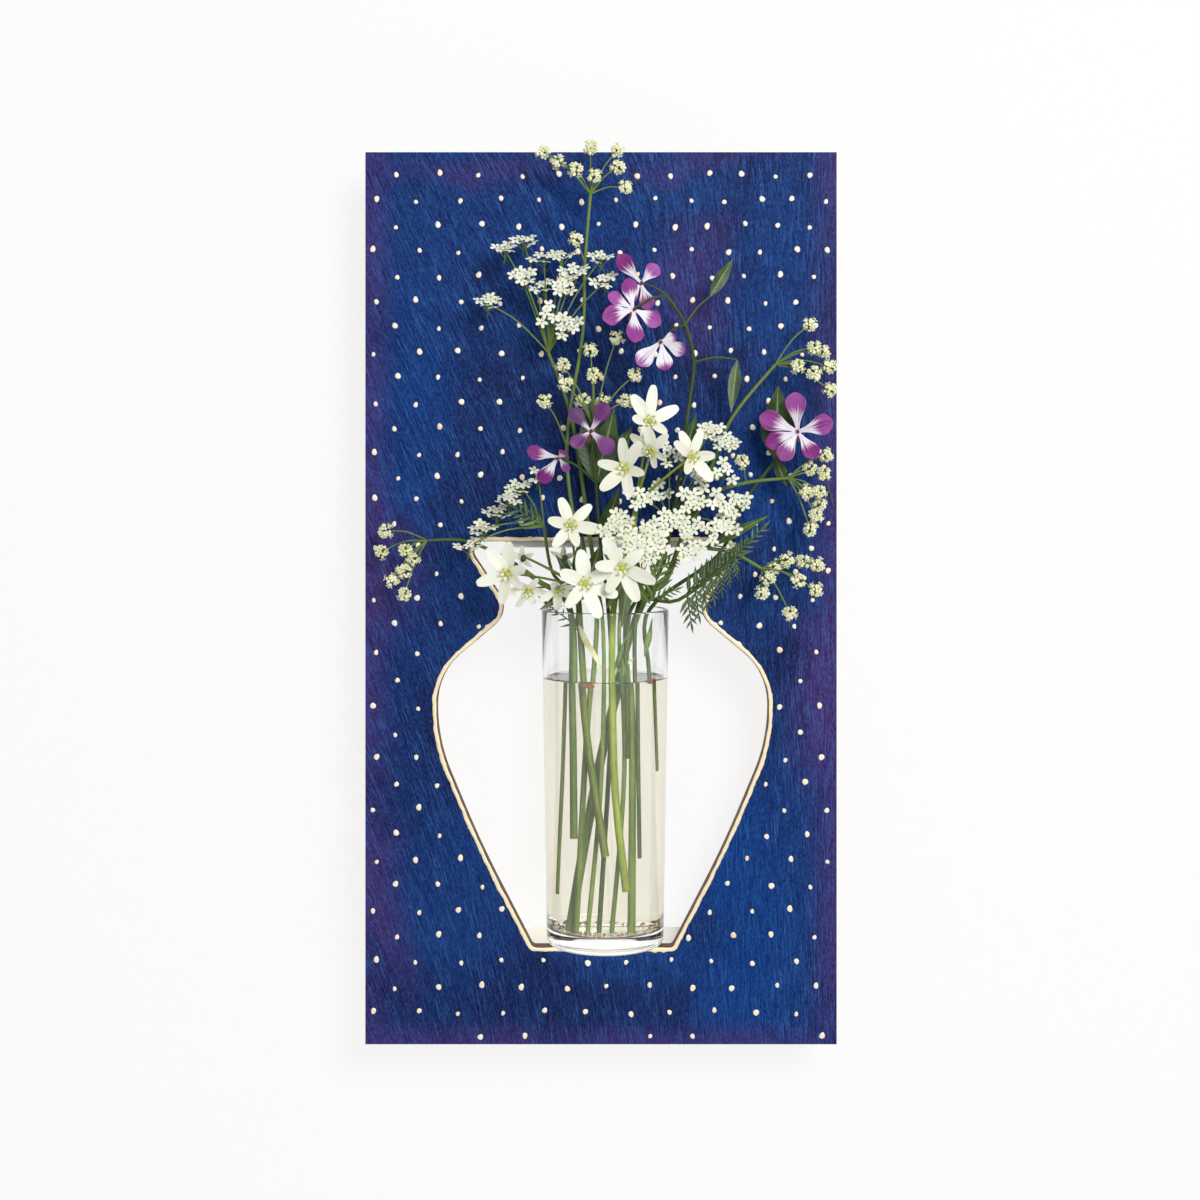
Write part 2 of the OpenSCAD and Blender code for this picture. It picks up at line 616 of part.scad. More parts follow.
module bud_cutting_right() {
    inside_shares = [[-0.6, 0.4, 0], [0.02, 0.4, 0.62], [0.62, 0.44, 1]];
    fork_share = [0.34, 0.2, 0.16];
    high_share = [0.75, 0.305, 0.535];
    middle_share = [0.805, 0.35, 0.29];
    low_share = [0.69, 0.34, 0.095];
    branch_shares = [[fork_share, [0.46, 0.22, 0.3], [0.56, 0.26, 0.42], high_share],
        [fork_share, [0.46, 0.26, 0.25], [0.62, 0.32, 0.28], middle_share],
        [fork_share, [0.44, 0.28, 0.14], [0.56, 0.32, 0.13], low_share]];
    high_head_shares = [[0.9, 0.3, 0.62], [0.915, 0.36, 0.57], [0.96, 0.28, 0.565], [0.845, 0.4, 0.53],
        [0.915, 0.42, 0.515], [0.985, 0.36, 0.53], [0.99, 0.3, 0.48]];
    middle_head_shares = [[0.9, 0.36, 0.31], [0.96, 0.4, 0.3], [0.97, 0.3, 0.34], [0.88, 0.44, 0.26],
        [0.94, 0.46, 0.26], [0.945, 0.36, 0.235], [0.925, 0.42, 0.21], [0.9, 0.38, 0.18]];
    low_head_shares = [[0.75, 0.3, 0.1], [0.8, 0.38, 0.115], [0.87, 0.3, 0.11], [0.93, 0.36, 0.105],
        [0.845, 0.42, 0.07], [0.925, 0.36, 0.05], [0.685, 0.44, 0.045], [0.71, 0.46, 0.075], [0.81, 0.4, 0]];
    side_share = [0.62, 0.32, 0.28];
    side_head_shares = [[0.6, 0.46, 0.325], [0.555, 0.44, 0.135]];
    leaf_foot_share = [0.44, 0.28, 0.14];
    leaf_tip_share = [0.72, 0.34, 0.21];
    leaf_w_share = 0.14;
    one_mesh() {
        color("olivedrab") {
            stalk(inside_shares, [[0.27, 0.14, 0.07], fork_share], 1, fork_r_share);
            for (b = branch_shares) stalk([], b, thin_share);
            leaf(leaf_foot_share, leaf_tip_share, leaf_w_share);
        }
        color("darkseagreen") {
            buds(high_share, high_head_shares);
            buds(middle_share, middle_head_shares);
            buds(low_share, low_head_shares);
            buds(side_share, [side_head_shares[0]]);
            buds(leaf_foot_share, [side_head_shares[1]]);
        }
    }
}

module violet_cutting_tall() {
    inside_shares = [[0.6, 0.8, 0.24], [0.52, 0.66, 0.7], [0.54, 0.64, 1]];
    low_share = [0.33, 0.26, 0.3];
    knee_share = [0.39, 0.34, 0.54];
    bow_share = [0.35, 0.4, 0.62];
    tip_share = [0.27, 0.46, 0.68];
    above_shares = [[0.25, 0.3, 0.1], low_share, [0.37, 0.3, 0.45], knee_share, bow_share, tip_share];
    high_head_shares = [[0.155, 0.56, 0.705, -5, 10, 0.95], [0.12, 0.78, 0.645, -8, 25, 1.05]];
    low_head_share = [0.24, 0.66, 0.58, 20, -6, 0.95];
    // Each leaf's foot, tip and width
    high_leaf_share = [0.46, 0.4, 0.68];
    hanging_leaf_share = [0.58, 0.36, 0.545];
    leaf_shares = [[high_leaf_share, [0.56, 0.38, 0.76], 0.3], [hanging_leaf_share, [0.55, 0.38, 0.43], 0.24],
        [low_share, [0.4, 0.36, 0.43], 0.24]];
    one_mesh() {
        color("darkolivegreen") {
            stalk(inside_shares, above_shares, thin_share);
            for (h = high_head_shares) ray(tip_share, h);
            ray(bow_share, low_head_share);
            ray(bow_share, high_leaf_share);
            ray(knee_share, hanging_leaf_share);
            for (l = leaf_shares) leaf(l[0], l[1], l[2]);
        }
        color("mediumorchid") for (h = concat(high_head_shares, [low_head_share])) violet(h);
    }
}

module violet_cutting_centre() {
    inside_shares = [[-0.1, 0.42, 0], [0.1, 0.56, 0.7], [0.05, 0.62, 1]];
    fork_share = [-0.04, 0.36, 0.28];
    above_shares = [[-0.02, 0.3, 0.14], fork_share];
    head_shares = [[-0.065, 0.6, 0.39, -6, 18, 1], [-0.205, 0.5, 0.335, 25, -25, 0.85]];
    leaf_tip_share = [0.04, 0.46, 0.44];
    leaf_w_share = 0.35;
    one_mesh() {
        color("darkolivegreen") {
            stalk(inside_shares, above_shares, thin_share);
            for (h = head_shares) ray(fork_share, h);
            leaf(fork_share, leaf_tip_share, leaf_w_share);
        }
        color("darkmagenta") for (h = head_shares) violet(h);
    }
}

module violet_cutting_right() {
    inside_shares = [[0.88, 0.47, 0.5], [0.76, 0.4, 0.8], [0.76, 0.42, 1]];
    fork_share = [0.76, 0.16, 0.33];
    head_share = [0.845, 0.4, 0.39, -6, -8, 1.05];
    above_shares = [[0.5, 0.1, 0.12], [0.62, 0.1, 0.24], fork_share, head_share];
    leaf_tip_share = [0.76, 0.3, 0.49];
    leaf_w_share = 0.45;
    pod_tip_share = [1.02, 0.05, 0.23];
    one_mesh() {
        color("darkolivegreen") {
            stalk(inside_shares, above_shares, thin_share);
            leaf(fork_share, leaf_tip_share, leaf_w_share);
            ray(head_share, pod_tip_share);
        }
        color("mediumorchid") violet(head_share);
    }
}

fern_leaflets = 7;
fern_reach_share = 0.3;
fern_rise_share = 0.3;
fern_low_share = 0.1;
fern_high_share = 0.5;
fern_leaf_w_share = 0.16;
module fern_leaf() {
    inside_shares = [[0.38, 0.92, 0.55], [0.42, 0.74, 1]];
    foot_share = [0.32, 0.5, 0.03];
    tip_share = [0.56, 0.6, 0.12];
    end_share = [0.72, 0.5, 0.2];
    one_mesh() color("darkgreen") {
        stalk(inside_shares, [foot_share, tip_share], thin_share);
        for (i = [1:fern_leaflets]) for (side = [-1, 1])
            let (s = i / fern_leaflets, at = foot_share + (tip_share - foot_share) * s,
                reach = fern_reach_share * (1 - s / 2),
                lean_share = side > 0 ? fern_high_share : fern_low_share)
            leaf(at, at + reach * [lean_share, 0, side * fern_rise_share], fern_leaf_w_share);
        leaf(tip_share, end_share, fern_leaf_w_share);
    }
}

panel();
gold_line();
gold_dots();
hanging_block();
ledge_block();
hanger_plate();
hanger_screws();
wall_bumpers();
glass();
star_cutting_left();
star_cutting_right();
lace_cutting_tall();
lace_cutting_left();
lace_cutting_right();
lace_cutting_low();
bud_cutting_tall();
bud_cutting_left();
bud_cutting_right();
violet_cutting_tall();
violet_cutting_centre();
violet_cutting_right();
fern_leaf();
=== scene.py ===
# Wall vase: a stained plywood panel with a vase-shaped cut-out, a glass of water and cut flowers.
import math
from functools import partial
import bpy
import numpy as np
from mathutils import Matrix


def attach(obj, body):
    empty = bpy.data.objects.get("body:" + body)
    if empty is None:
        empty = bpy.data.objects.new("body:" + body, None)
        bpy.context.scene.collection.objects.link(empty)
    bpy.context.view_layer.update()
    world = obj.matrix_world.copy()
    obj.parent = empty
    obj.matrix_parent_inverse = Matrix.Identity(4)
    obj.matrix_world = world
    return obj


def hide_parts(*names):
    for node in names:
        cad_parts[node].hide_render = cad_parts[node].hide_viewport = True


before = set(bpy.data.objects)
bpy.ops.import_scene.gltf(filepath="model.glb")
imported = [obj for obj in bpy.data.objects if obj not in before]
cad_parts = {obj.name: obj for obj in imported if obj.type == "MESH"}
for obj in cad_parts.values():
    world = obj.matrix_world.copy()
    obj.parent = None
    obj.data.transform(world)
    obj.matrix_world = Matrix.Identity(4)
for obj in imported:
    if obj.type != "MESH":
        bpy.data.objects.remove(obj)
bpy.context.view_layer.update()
rng = np.random.default_rng(7)
mm = 0.001
print("frame loaded")


# Shapes: closed skins of quads, worked out in mm. Each is its points, its quads, where a point lies across
# and along it (uv), and a tone that its material reads

# A vector divided by its length
def unit(v):
    return v / np.maximum(np.linalg.norm(v, axis=-1, keepdims=True), 1e-9)


# The turn about one axis, as cosines and sines
def turn(axis, degrees):
    c, s = math.cos(math.radians(degrees)), math.sin(math.radians(degrees))
    if axis == "x":
        return np.array([[1, 0, 0], [0, c, -s], [0, s, c]])
    if axis == "y":
        return np.array([[c, 0, s], [0, 1, 0], [-s, 0, c]])
    return np.array([[c, -s, 0], [s, c, 0], [0, 0, 1]])


# The turn that takes +Z to a direction. Its X is across both Y and the direction, so a face that looks along
# -Y stays turned to the room
def aim(direction):
    z = unit(np.asarray(direction, float))
    x = np.cross([0, 1, 0], z)
    x = unit(x) if np.linalg.norm(x) > 0.1 else np.array([1.0, 0, 0])
    x = unit(x - z * (x @ z))
    return np.stack([x, np.cross(z, x), z], 1)


# Rings of points joined by quads, with both end rings closed, or joined end to end for a loop. The sum of
# its quads' volumes says which way they face, and they are turned over if that is inwards
def skin(rings, across=None, tone=0.0, loop=False, up=None):
    rows, cols = rings.shape[:2]
    i = np.arange(rows if loop else rows - 1)[:, None] * cols
    k = np.arange(cols)[None, :]
    n = (k + 1) % cols
    j = (i + cols) % (rows * cols)
    faces = np.stack([i + k, i + n, j + n, j + k], -1).reshape(-1, 4)
    if not loop:
        f = np.arange(cols // 2 - 1)
        fan = np.stack([0 * f, 2 * f + 1, 2 * f + 2, 2 * f + 3], -1)
        faces = np.concatenate([faces, fan[:, ::-1], fan + (rows - 1) * cols])
    at = rings.reshape(-1, 3)
    a, b, c, d = (at[faces[:, m]] for m in range(4))
    inside = (np.cross(b, c) * a).sum() + (np.cross(c, d) * a).sum()
    u = np.arange(cols) / cols if across is None else across
    v = np.linspace(0, 1, rows) if up is None else up
    uv = np.stack(np.broadcast_arrays(u[None, :], v[:, None]), -1).reshape(-1, 2)
    return {"at": at, "faces": faces if inside > 0 else faces[:, ::-1], "uv": uv,
            "tone": np.full(rows * cols, float(tone))}


# One shape put down many times: each copy's points are turned by its matrix, then its place is added
def copies(shape, turns, places, tones=0.0):
    n = len(places)
    at = np.einsum("nij,vj->nvi", np.asarray(turns), shape["at"]) + np.asarray(places)[:, None]
    faces = shape["faces"][None] + (np.arange(n) * len(shape["at"]))[:, None, None]
    tone = shape["tone"][None] + np.broadcast_to(tones, (n,))[:, None]
    return {"at": at.reshape(-1, 3), "faces": faces.reshape(-1, 4), "uv": np.tile(shape["uv"], (n, 1)),
            "tone": tone.reshape(-1)}


# The same for a single shape
def moved(shape, turning, place, tone=0.0):
    return copies(shape, [turning], [place], tone)


# Several shapes as one, each one's quads counted on from the points before it
def together(shapes):
    starts = np.cumsum([0] + [len(s["at"]) for s in shapes[:-1]])
    return {"at": np.concatenate([s["at"] for s in shapes]),
            "faces": np.concatenate([s["faces"] + start for s, start in zip(shapes, starts)]),
            "uv": np.concatenate([s["uv"] for s in shapes]), "tone": np.concatenate([s["tone"] for s in shapes])}


# A curve through every point, as the CAD stalks have: on each stretch a cubic, whose direction at a point is
# half the way from the point before to the one after
def smoothPath(points, steps=6):
    p = np.asarray(points, float)
    a, b, c, d = (q[:, None] for q in (np.concatenate([p[:1], p[:-2]]), p[:-1], p[1:],
                                       np.concatenate([p[2:], p[-1:]])))
    t = (np.arange(steps) / steps)[None, :, None]
    q = 0.5 * (2 * b + (c - a) * t + (2 * a - 5 * b + 4 * c - d) * t ** 2 + (3 * b - 3 * c + d - a) * t ** 3)
    return np.concatenate([q.reshape(-1, 3), p[-1:]])


# A circle carried along a path, square to it, its radius running evenly from the foot's to the tip's
def tube(path, footR, tipR, sides=8, tone=0.0):
    path = np.asarray(path, float)
    along = unit(np.gradient(path, axis=0))
    across = unit(np.cross(along, np.eye(3)[np.argmin(np.abs(path[-1] - path[0]))]))
    out = np.cross(along, across)
    a = np.arange(sides) * 2 * np.pi / sides
    r = np.linspace(footR, tipR, len(path))[:, None, None]
    rings = path[:, None] + r * (across[:, None] * np.cos(a)[:, None] + out[:, None] * np.sin(a)[:, None])
    return skin(rings, tone=tone)


# A thin ray whose middle is lifted by a share of its length, a fifth thicker at its foot than in the middle
def rayTube(start, end, radius, arch):
    start, end = np.asarray(start, float), np.asarray(end, float)
    middle = (start + end) / 2 + [0, 0, arch * np.linalg.norm(end - start)]
    return tube(smoothPath([start, middle, end], 4), radius * 1.2, radius * 0.8, 6)


# A petal or leaf along +Z that faces -Y. At the share v of its length its section is an oval, as wide as the
# profile says there. A blunt end closes as a quarter circle over that share of the length. The crease lifts
# each edge by a share of the half width, the curl lifts the tip by v squared, the notch moves the edges on and
# the middle back by v cubed, and the twist lifts one edge and lowers the other by the sine of 3 v
def blade(length, width, profile, thick=0.05, crease=0.1, curl=0.05, rows=9, cols=8, blunt=0.0, notch=0.0,
          twist=0.0):
    v = (np.sin(np.linspace(0, np.pi / 2, rows)) if blunt else np.linspace(0, 1, rows))[:, None]
    a = (np.arange(cols) * 2 * np.pi / cols)[None, :]
    w = np.interp(v, np.linspace(0, 1, len(profile)), profile) * width / 2
    if blunt:
        w = w * np.sqrt(np.maximum(1 - np.maximum(0, (v - 1 + blunt) / blunt) ** 2, 0.001))
    x = w * np.cos(a)
    y = thick * width / 2 * np.sin(a) * np.minimum(1, 0.3 + w / width) - crease * w * np.abs(np.cos(a)) \
        - curl * length * v ** 2 + twist * w * np.cos(a) * np.sin(3 * v)
    z = length * v + notch * length * v ** 3 * (np.abs(np.cos(a)) - 0.5) + 0 * a
    return skin(np.stack([x, y, z], -1), across=np.cos(a)[0], up=v[:, 0])


# An egg along +Z, its base at the origin: at the share v its radius is r times sine(pi v) to the power 0.7
def egg(r, length, rows=6, cols=8):
    v = np.linspace(0.02, 0.98, rows)[:, None]
    a = (np.arange(cols) * 2 * np.pi / cols)[None, :]
    w = r * np.sin(np.pi * v) ** 0.7
    return skin(np.stack([w * np.cos(a), w * np.sin(a), length * v + 0 * a], -1))


# A profile of (radius, height) points turned round the upright through a centre
def lathe(profile, centre, segments=128):
    p = np.asarray(profile, float)
    a = (np.arange(segments) * 2 * np.pi / segments)[None, :]
    r, z = p[:, :1], p[:, 1:]
    return skin(np.stack([centre[0] + r * np.cos(a), centre[1] + r * np.sin(a), centre[2] + z + 0 * a], -1))


# A shape as an object of its own, that rides on a body and may stand for CAD pieces
def piece(name, shape, material, body, nodes=()):
    mesh = bpy.data.meshes.new(name)
    mesh.from_pydata(shape["at"] * mm, [], shape["faces"].tolist())
    corners = np.empty(len(mesh.loops), np.int32)
    mesh.loops.foreach_get("vertex_index", corners)
    mesh.uv_layers.new(name="form").data.foreach_set("uv", shape["uv"][corners].astype(np.float32).ravel())
    mesh.attributes.new("tone", "FLOAT", "POINT").data.foreach_set("value", shape["tone"].astype(np.float32))
    mesh.materials.append(material)
    mesh.shade_smooth()
    mesh.set_sharp_from_angle(angle=math.radians(50))
    made = bpy.data.objects.new(name, mesh)
    bpy.context.scene.collection.objects.link(made)
    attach(made, body)
    if nodes:
        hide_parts(*nodes)


# Materials

# sRGB hex to linear: a channel c over 12.92 up to 0.04045, and above it (c + 0.055) / 1.055 to the power 2.4
def linear(code):
    c = np.array([int(code[i:i + 2], 16) for i in (1, 3, 5)]) / 255
    return tuple(np.where(c <= 0.04045, c / 12.92, ((c + 0.055) / 1.055) ** 2.4)) + (1.0,)


# Gives each socket a link, a hex colour or a number, or leaves it as it is for None
def fill(sockets, values):
    for socket, value in zip(sockets, values):
        if isinstance(value, bpy.types.NodeSocket):
            socket.id_data.links.new(value, socket)
        elif value is not None:
            socket.default_value = linear(value) if isinstance(value, str) else value


def connect(node, values):
    fill([node.inputs[key] for key in values], values.values())


# One node: its kind and operation, its settings, then a value or a link for each socket it shows, in their
# order on the node. It gives the output that is named, or the first one shown
usual = {"Mix": {"data_type": "RGBA"}, "MapRange": {"interpolation_type": "SMOOTHSTEP"}}


def addNode(tree, kind, *values, out=None, **settings):
    kind, *operation = kind.split(".")
    node = tree.nodes.new("ShaderNode" + kind)
    for key, value in {**usual.get(kind, {}), **dict(zip(["operation"], operation)), **settings}.items():
        setattr(node, key, value)
    fill([socket for socket in node.inputs if socket.enabled], values)
    return node.outputs[out] if out else next(socket for socket in node.outputs if socket.enabled)


# A material with numbers on its shader's own sockets, its shader, and addNode for its own tree
def newMaterial(name, values):
    material = bpy.data.materials.new(name)
    material.use_nodes = True
    shader = material.node_tree.nodes["Principled BSDF"]
    connect(shader, values)
    return material, shader, partial(addNode, material.node_tree)


# Noise whose features measure so many mm, the same on every side or as X, Y and Z
def speckle(add, place, size, detail=2.0):
    scale = 1 / (np.broadcast_to(size, 3) * mm)
    return add("TexNoise", add("VectorMath.MULTIPLY", place, scale.tolist()), 1.0, detail, out="Fac")


# The panel as in the CAD, in mm
panel = {"width": 280, "low": -313.8, "high": 216.2, "face": -51}

# Birch plywood under a blue and violet water stain: the stain soaks in unevenly, in cloudy zones and fine
# slanting grain lines, and the laser-cut edge is scorched brown. Each zone is a place, two radii in mm and a
# strength. Each ramp is from, to, and the strength at each; violet's ramps are at places in metres
stain = {"navy": "#101b4b", "blue": "#12336e", "cobalt": "#04397e", "violet": "#432f6a", "streak": "#3a6cb4",
         "dry": "#6a6f98", "ply": "#262a4c", "scorched": "#6a4a30", "birch": "#d8c29c", "rearGrain": "#c6ab80",
         "cloud": 60, "slant": (0.42, 0.02), "streakSize": (0.65, 8, 11), "fleckSize": (0.5, 4, 2.2),
         "patchSize": (9, 20, 24), "plyThickness": 1.5, "drift": 0.07, "edge": 1.5,
         "cloudRamp": (0.3, 0.62), "rimRamp": (0.35, 0.55, 0.5, 1), "sideRamp": (0.118, 0.14, 0, 0.8),
         "lowRamp": (-0.296, -0.314, 0, 0.75), "patchRamp": (0.36, 0.62, 0.3, 1), "plyRamp": (0.3, 0.7, 0, 0.35),
         "grain": (("streak", "MIX", (0.48, 0.7, 0, 0.46), (0.5, 0.68, 0, 0.26)),
                   ("dry", "MULTIPLY", (0.34, 0.5, 0.6, 0), (0.34, 0.52, 0.55, 0))),
         "cobaltZones": [(88, -250, 48, 120, 0.9), (-113, 70, 34, 90, 0.6), (-15, 172, 50, 42, 0.6),
                         (98, 155, 42, 62, 0.55), (105, 15, 36, 62, 0.6), (70, -190, 30, 60, 0.4)],
         "violetZones": [(53, 130, 24, 62, 0.75), (124, -105, 26, 62, 0.8), (-124, -30, 24, 52, 0.6),
                         (-122, -240, 22, 70, 0.5), (-70, 208, 70, 14, 0.6), (60, 212, 60, 10, 0.5)],
         "navyZones": [(-45, -292, 105, 42, 0.9), (-62, 60, 44, 80, 0.4), (-105, -150, 36, 70, 0.5)]}


# Soft blobs added up: each is strongest at its place and gone a little past its radii
def zones(add, place, blobs):
    total = 0.0
    for x, z, acrossR, upR, strength in blobs:
        scaled = add("VectorMath.MULTIPLY_ADD", place, (1 / (acrossR * mm), 0, 1 / (upR * mm)),
                     (-x / acrossR, 0, -z / upR))
        away = add("VectorMath.LENGTH", scaled)
        total = add("Math.ADD", add("MapRange", away, 1.15, 0.1, 0, strength), total)
    return total


def stainedPlywood():
    material, shader, add = newMaterial("stained_plywood", {"Roughness": 0.55, "Specular IOR Level": 0.08})
    at = add("TexCoord", out="Object")
    x, y, z = (add("SeparateXYZ", at, out=letter) for letter in "XYZ")
    half, middle = panel["width"] / 2 * mm, (panel["low"] + panel["high"]) / 2 * mm
    slant = add("Math.MULTIPLY", add("MapRange", x, -half, half, *stain["slant"]), z)
    along = add("CombineXYZ", add("Math.ADD", x, slant), y, z)
    cloud = speckle(add, at, stain["cloud"], 4.0)
    drift = add("Math.MULTIPLY", add("Math.SUBTRACT", cloud, 0.5), stain["drift"])
    drifted = add("VectorMath.ADD", at, add("CombineXYZ", drift, 0, drift))
    streak, fleck = speckle(add, along, stain["streakSize"], 3.0), speckle(add, along, stain["fleckSize"])
    colour = add("Mix", add("MapRange", cloud, *stain["cloudRamp"]), stain["navy"], stain["blue"])
    for tone in ("navy", "cobalt"):
        colour = add("Mix", zones(add, drifted, stain[tone + "Zones"]), colour, stain[tone])
    # Violet soaks in from the sides and the bottom, and in zones
    side = add("MapRange", add("Math.ABSOLUTE", x), *stain["sideRamp"])
    rim = add("Math.MAXIMUM", side, add("MapRange", z, *stain["lowRamp"]))
    rim = add("Math.MULTIPLY", rim, add("MapRange", cloud, *stain["rimRamp"]))
    tint = add("Math.ADD", rim, zones(add, drifted, stain["violetZones"]), use_clamp=True)
    colour = add("Mix", tint, colour, stain["violet"])
    # Light grain first, then dark: long streaks, stronger in some patches than in others, and short flecks
    patch = add("MapRange", speckle(add, along, stain["patchSize"]), *stain["patchRamp"])
    for tone, way, streakRamp, fleckRamp in stain["grain"]:
        strength = add("Math.MULTIPLY", patch, add("MapRange", streak, *streakRamp))
        colour = add("Mix", strength, colour, stain[tone], blend_type=way)
        colour = add("Mix", add("MapRange", fleck, *fleckRamp), colour, stain[tone], blend_type=way)
    # Edges show the plies across the thickness: stained outside, scorched in the cut-out
    plies = add("Math.PINGPONG", add("Math.DIVIDE", y, stain["plyThickness"] * mm), 0.5)
    fromMiddle = add("Math.ABSOLUTE", add("Math.SUBTRACT", z, middle))
    edgeAt = [half - stain["edge"] * mm, (panel["high"] - panel["low"]) / 2 * mm - stain["edge"] * mm]
    outer = [add("Math.GREATER_THAN", away, limit)
             for away, limit in zip((add("Math.ABSOLUTE", x), fromMiddle), edgeAt)]
    edge = add("Mix", add("Math.MAXIMUM", *outer), stain["scorched"], stain["ply"])
    edge = add("Mix", add("MapRange", plies, *stain["plyRamp"]), edge, stain["birch"])
    # The rear is bare birch. A face looks along Y, and an edge doesn't
    facing = add("SeparateXYZ", add("TexCoord", out="Normal"), out="Y")
    flat = add("Math.GREATER_THAN", add("Math.ABSOLUTE", facing), 0.5)
    rear = add("Math.GREATER_THAN", facing, 0.5)
    birch = add("Mix", add("MapRange", streak, 0.4, 0.8), stain["birch"], stain["rearGrain"])
    colour = add("Mix", flat, edge, add("Mix", rear, colour, birch))
    connect(shader, {"Base Color": colour, "Normal": add("Bump", 0.15, 0.1 * mm, None, streak)})
    return material


# Emulsion paint rolled on softwood: matt, with a faint orange peel
def paintedWood():
    material, shader, add = newMaterial("white_painted_wood", {"Roughness": 0.6})
    at = add("TexCoord", out="Object")
    connect(shader, {"Base Color": add("Mix", speckle(add, at, 30), "#f8f9f8", "#f2f3f2"),
                     "Normal": add("Bump", 0.2, 0.1 * mm, None, speckle(add, at, 1.5, 3.0))})
    return material


# Zinc plated steel, stamped: bright grey with a fine crystal mottle
def zincSteel():
    material, shader, add = newMaterial("zinc_steel", {"Metallic": 1.0})
    mottle = speckle(add, add("TexCoord", out="Object"), 1.2, 3.0)
    connect(shader, {"Base Color": add("Mix", mottle, "#b9bcc0", "#8f9397"),
                     "Roughness": add("MapRange", mottle, 0.2, 0.8, 0.26, 0.44)})
    return material


# Pressed wool felt: matt, with short fibres that mottle it
def pressedFelt():
    material, shader, add = newMaterial("felt", {"Roughness": 0.95, "Sheen Weight": 0.3})
    fibre = speckle(add, add("TexCoord", out="Object"), 0.5, 4.0)
    connect(shader, {"Base Color": add("Mix", fibre, "#8a6a48", "#64482e"),
                     "Normal": add("Bump", 0.6, 0.3 * mm, None, fibre)})
    return material


# Pearl and gold paint-pen ink in domes: cream in the middle and darker brown at its outermost ring, by the share
# across it.
# Some of it is peach, by its tone
def goldPaint(name, light, deep, rimLow, rimHigh):
    material, shader, add = newMaterial(name, {"Roughness": 0.38, "Metallic": 0.15})
    fromMiddle = add("SeparateXYZ", add("TexCoord", out="UV"), out="X")
    grains = speckle(add, add("TexCoord", out="Object"), 0.8, 3.0)
    colour = add("Mix", add("Attribute", out="Fac", attribute_name="tone"), light, "#ecc39a")
    colour = add("Mix", add("MapRange", grains, 0.4, 0.75, 0, 0.5), colour, deep)
    colour = add("Mix", add("MapRange", fromMiddle, rimLow, rimHigh), colour, "#6b4a2c")
    connect(shader, {"Base Color": colour, "Normal": add("Bump", 0.4, 0.2 * mm, None, grains)})
    return material


# Clear soda-lime or water: light goes through without a solid shadow
def clearLiquid(name, code, ior):
    material, shader, add = newMaterial(name, {"Base Color": code, "Roughness": 0.0, "IOR": ior,
                                               "Transmission Weight": 1.0})
    shadow = add("LightPath", out="Is Shadow Ray")
    surface = add("MixShader", shadow, shader.outputs[0], add("BsdfTransparent", code))
    connect(material.node_tree.nodes["Material Output"], {"Surface": surface})
    return material


# Thin and juicy plant skin: a little light passes through it, up to 2 mm deep
def plantSkin(name, gloss, through, extra):
    return newMaterial(name, {"Roughness": gloss, "Subsurface Weight": through, "Subsurface Scale": 2 * mm,
                              **extra})


# A fresh stem: waxy green with fine long ribs, paler or darker by its tone
def greenStem(name, light, dark):
    material, shader, add = plantSkin(name, 0.5, 0.06, {"Specular IOR Level": 0.3,
                                                        "Subsurface Radius": (0.4, 0.8, 0.2)})
    at, tone = add("TexCoord", out="Object"), add("Attribute", out="Fac", attribute_name="tone")
    rib, zone = speckle(add, at, (0.7, 0.7, 9)), speckle(add, at, (14, 14, 30))
    shade = add("Math.MULTIPLY_ADD", rib, 0.5, add("Math.MULTIPLY_ADD", zone, 0.6, tone))
    connect(shader, {"Base Color": add("Mix", add("MapRange", shade, 0.3, 0.95), light, dark),
                     "Normal": add("Bump", 0.25, 0.15 * mm, None, rib)})
    return material


# How many veins show across a petal, how they waver along it, and how far each petal's differ
petalVeins = (7.0, 1.2, 31.0)


# A petal: thin and soft, so light passes through it, with fine veins along it.
# Its colour runs from the claw to the blade at a place along it, in streaks
def petalSkin(name, claw, inner, outer, start, end, veins):
    material, shader, add = plantSkin(name, 0.5, 0.12, {"Specular IOR Level": 0.35})
    across, up = (add("SeparateXYZ", add("TexCoord", out="UV"), out=letter) for letter in "XY")
    tone = add("Attribute", out="Fac", attribute_name="tone")
    spread = add("VectorMath.MULTIPLY", add("CombineXYZ", across, up, tone), petalVeins)
    vein = add("TexNoise", spread, 1.0, 2.0, out="Fac")
    ragged = add("Math.ADD", up, add("Math.MULTIPLY", add("Math.SUBTRACT", vein, 0.5), 0.5))
    colour = add("Mix", add("MapRange", tone, 0, 1), inner, outer)
    colour = add("Mix", add("MapRange", ragged, start, end), claw, colour)
    colour = add("Mix", add("MapRange", vein, 0.5, 0.75, 0, veins), colour, inner, blend_type="MULTIPLY")
    connect(shader, {"Base Color": colour, "Normal": add("Bump", 0.3, 0.4 * mm, None, vein)})
    return material


# A leaf blade: darker between pale veins, a little glossy. 24 veins slant forwards from its pale middle one
def leafSkin(name, light, dark):
    material, shader, add = plantSkin(name, 0.42, 0.1, {})
    across, up = (add("SeparateXYZ", add("TexCoord", out="UV"), out=letter) for letter in "XY")
    blotch = speckle(add, add("TexCoord", out="Object"), (5, 5, 9), 3.0)
    side = add("Math.ABSOLUTE", across)
    swept = add("Math.ADD", up, add("Math.MULTIPLY", side, -0.18))
    veins = add("Math.PINGPONG", add("Math.MULTIPLY", swept, 24.0), 1.0)
    colour = add("Mix", add("MapRange", blotch, 0.3, 0.7), light, dark)
    colour = add("Mix", add("MapRange", veins, 0.75, 1.0, 0, 0.3), colour, light)
    colour = add("Mix", add("MapRange", side, 0.14, 0.04, 0, 0.55), colour, "#9db06a")
    connect(shader, {"Base Color": colour, "Normal": add("Bump", 0.25, 0.3 * mm, None, veins)})
    return material


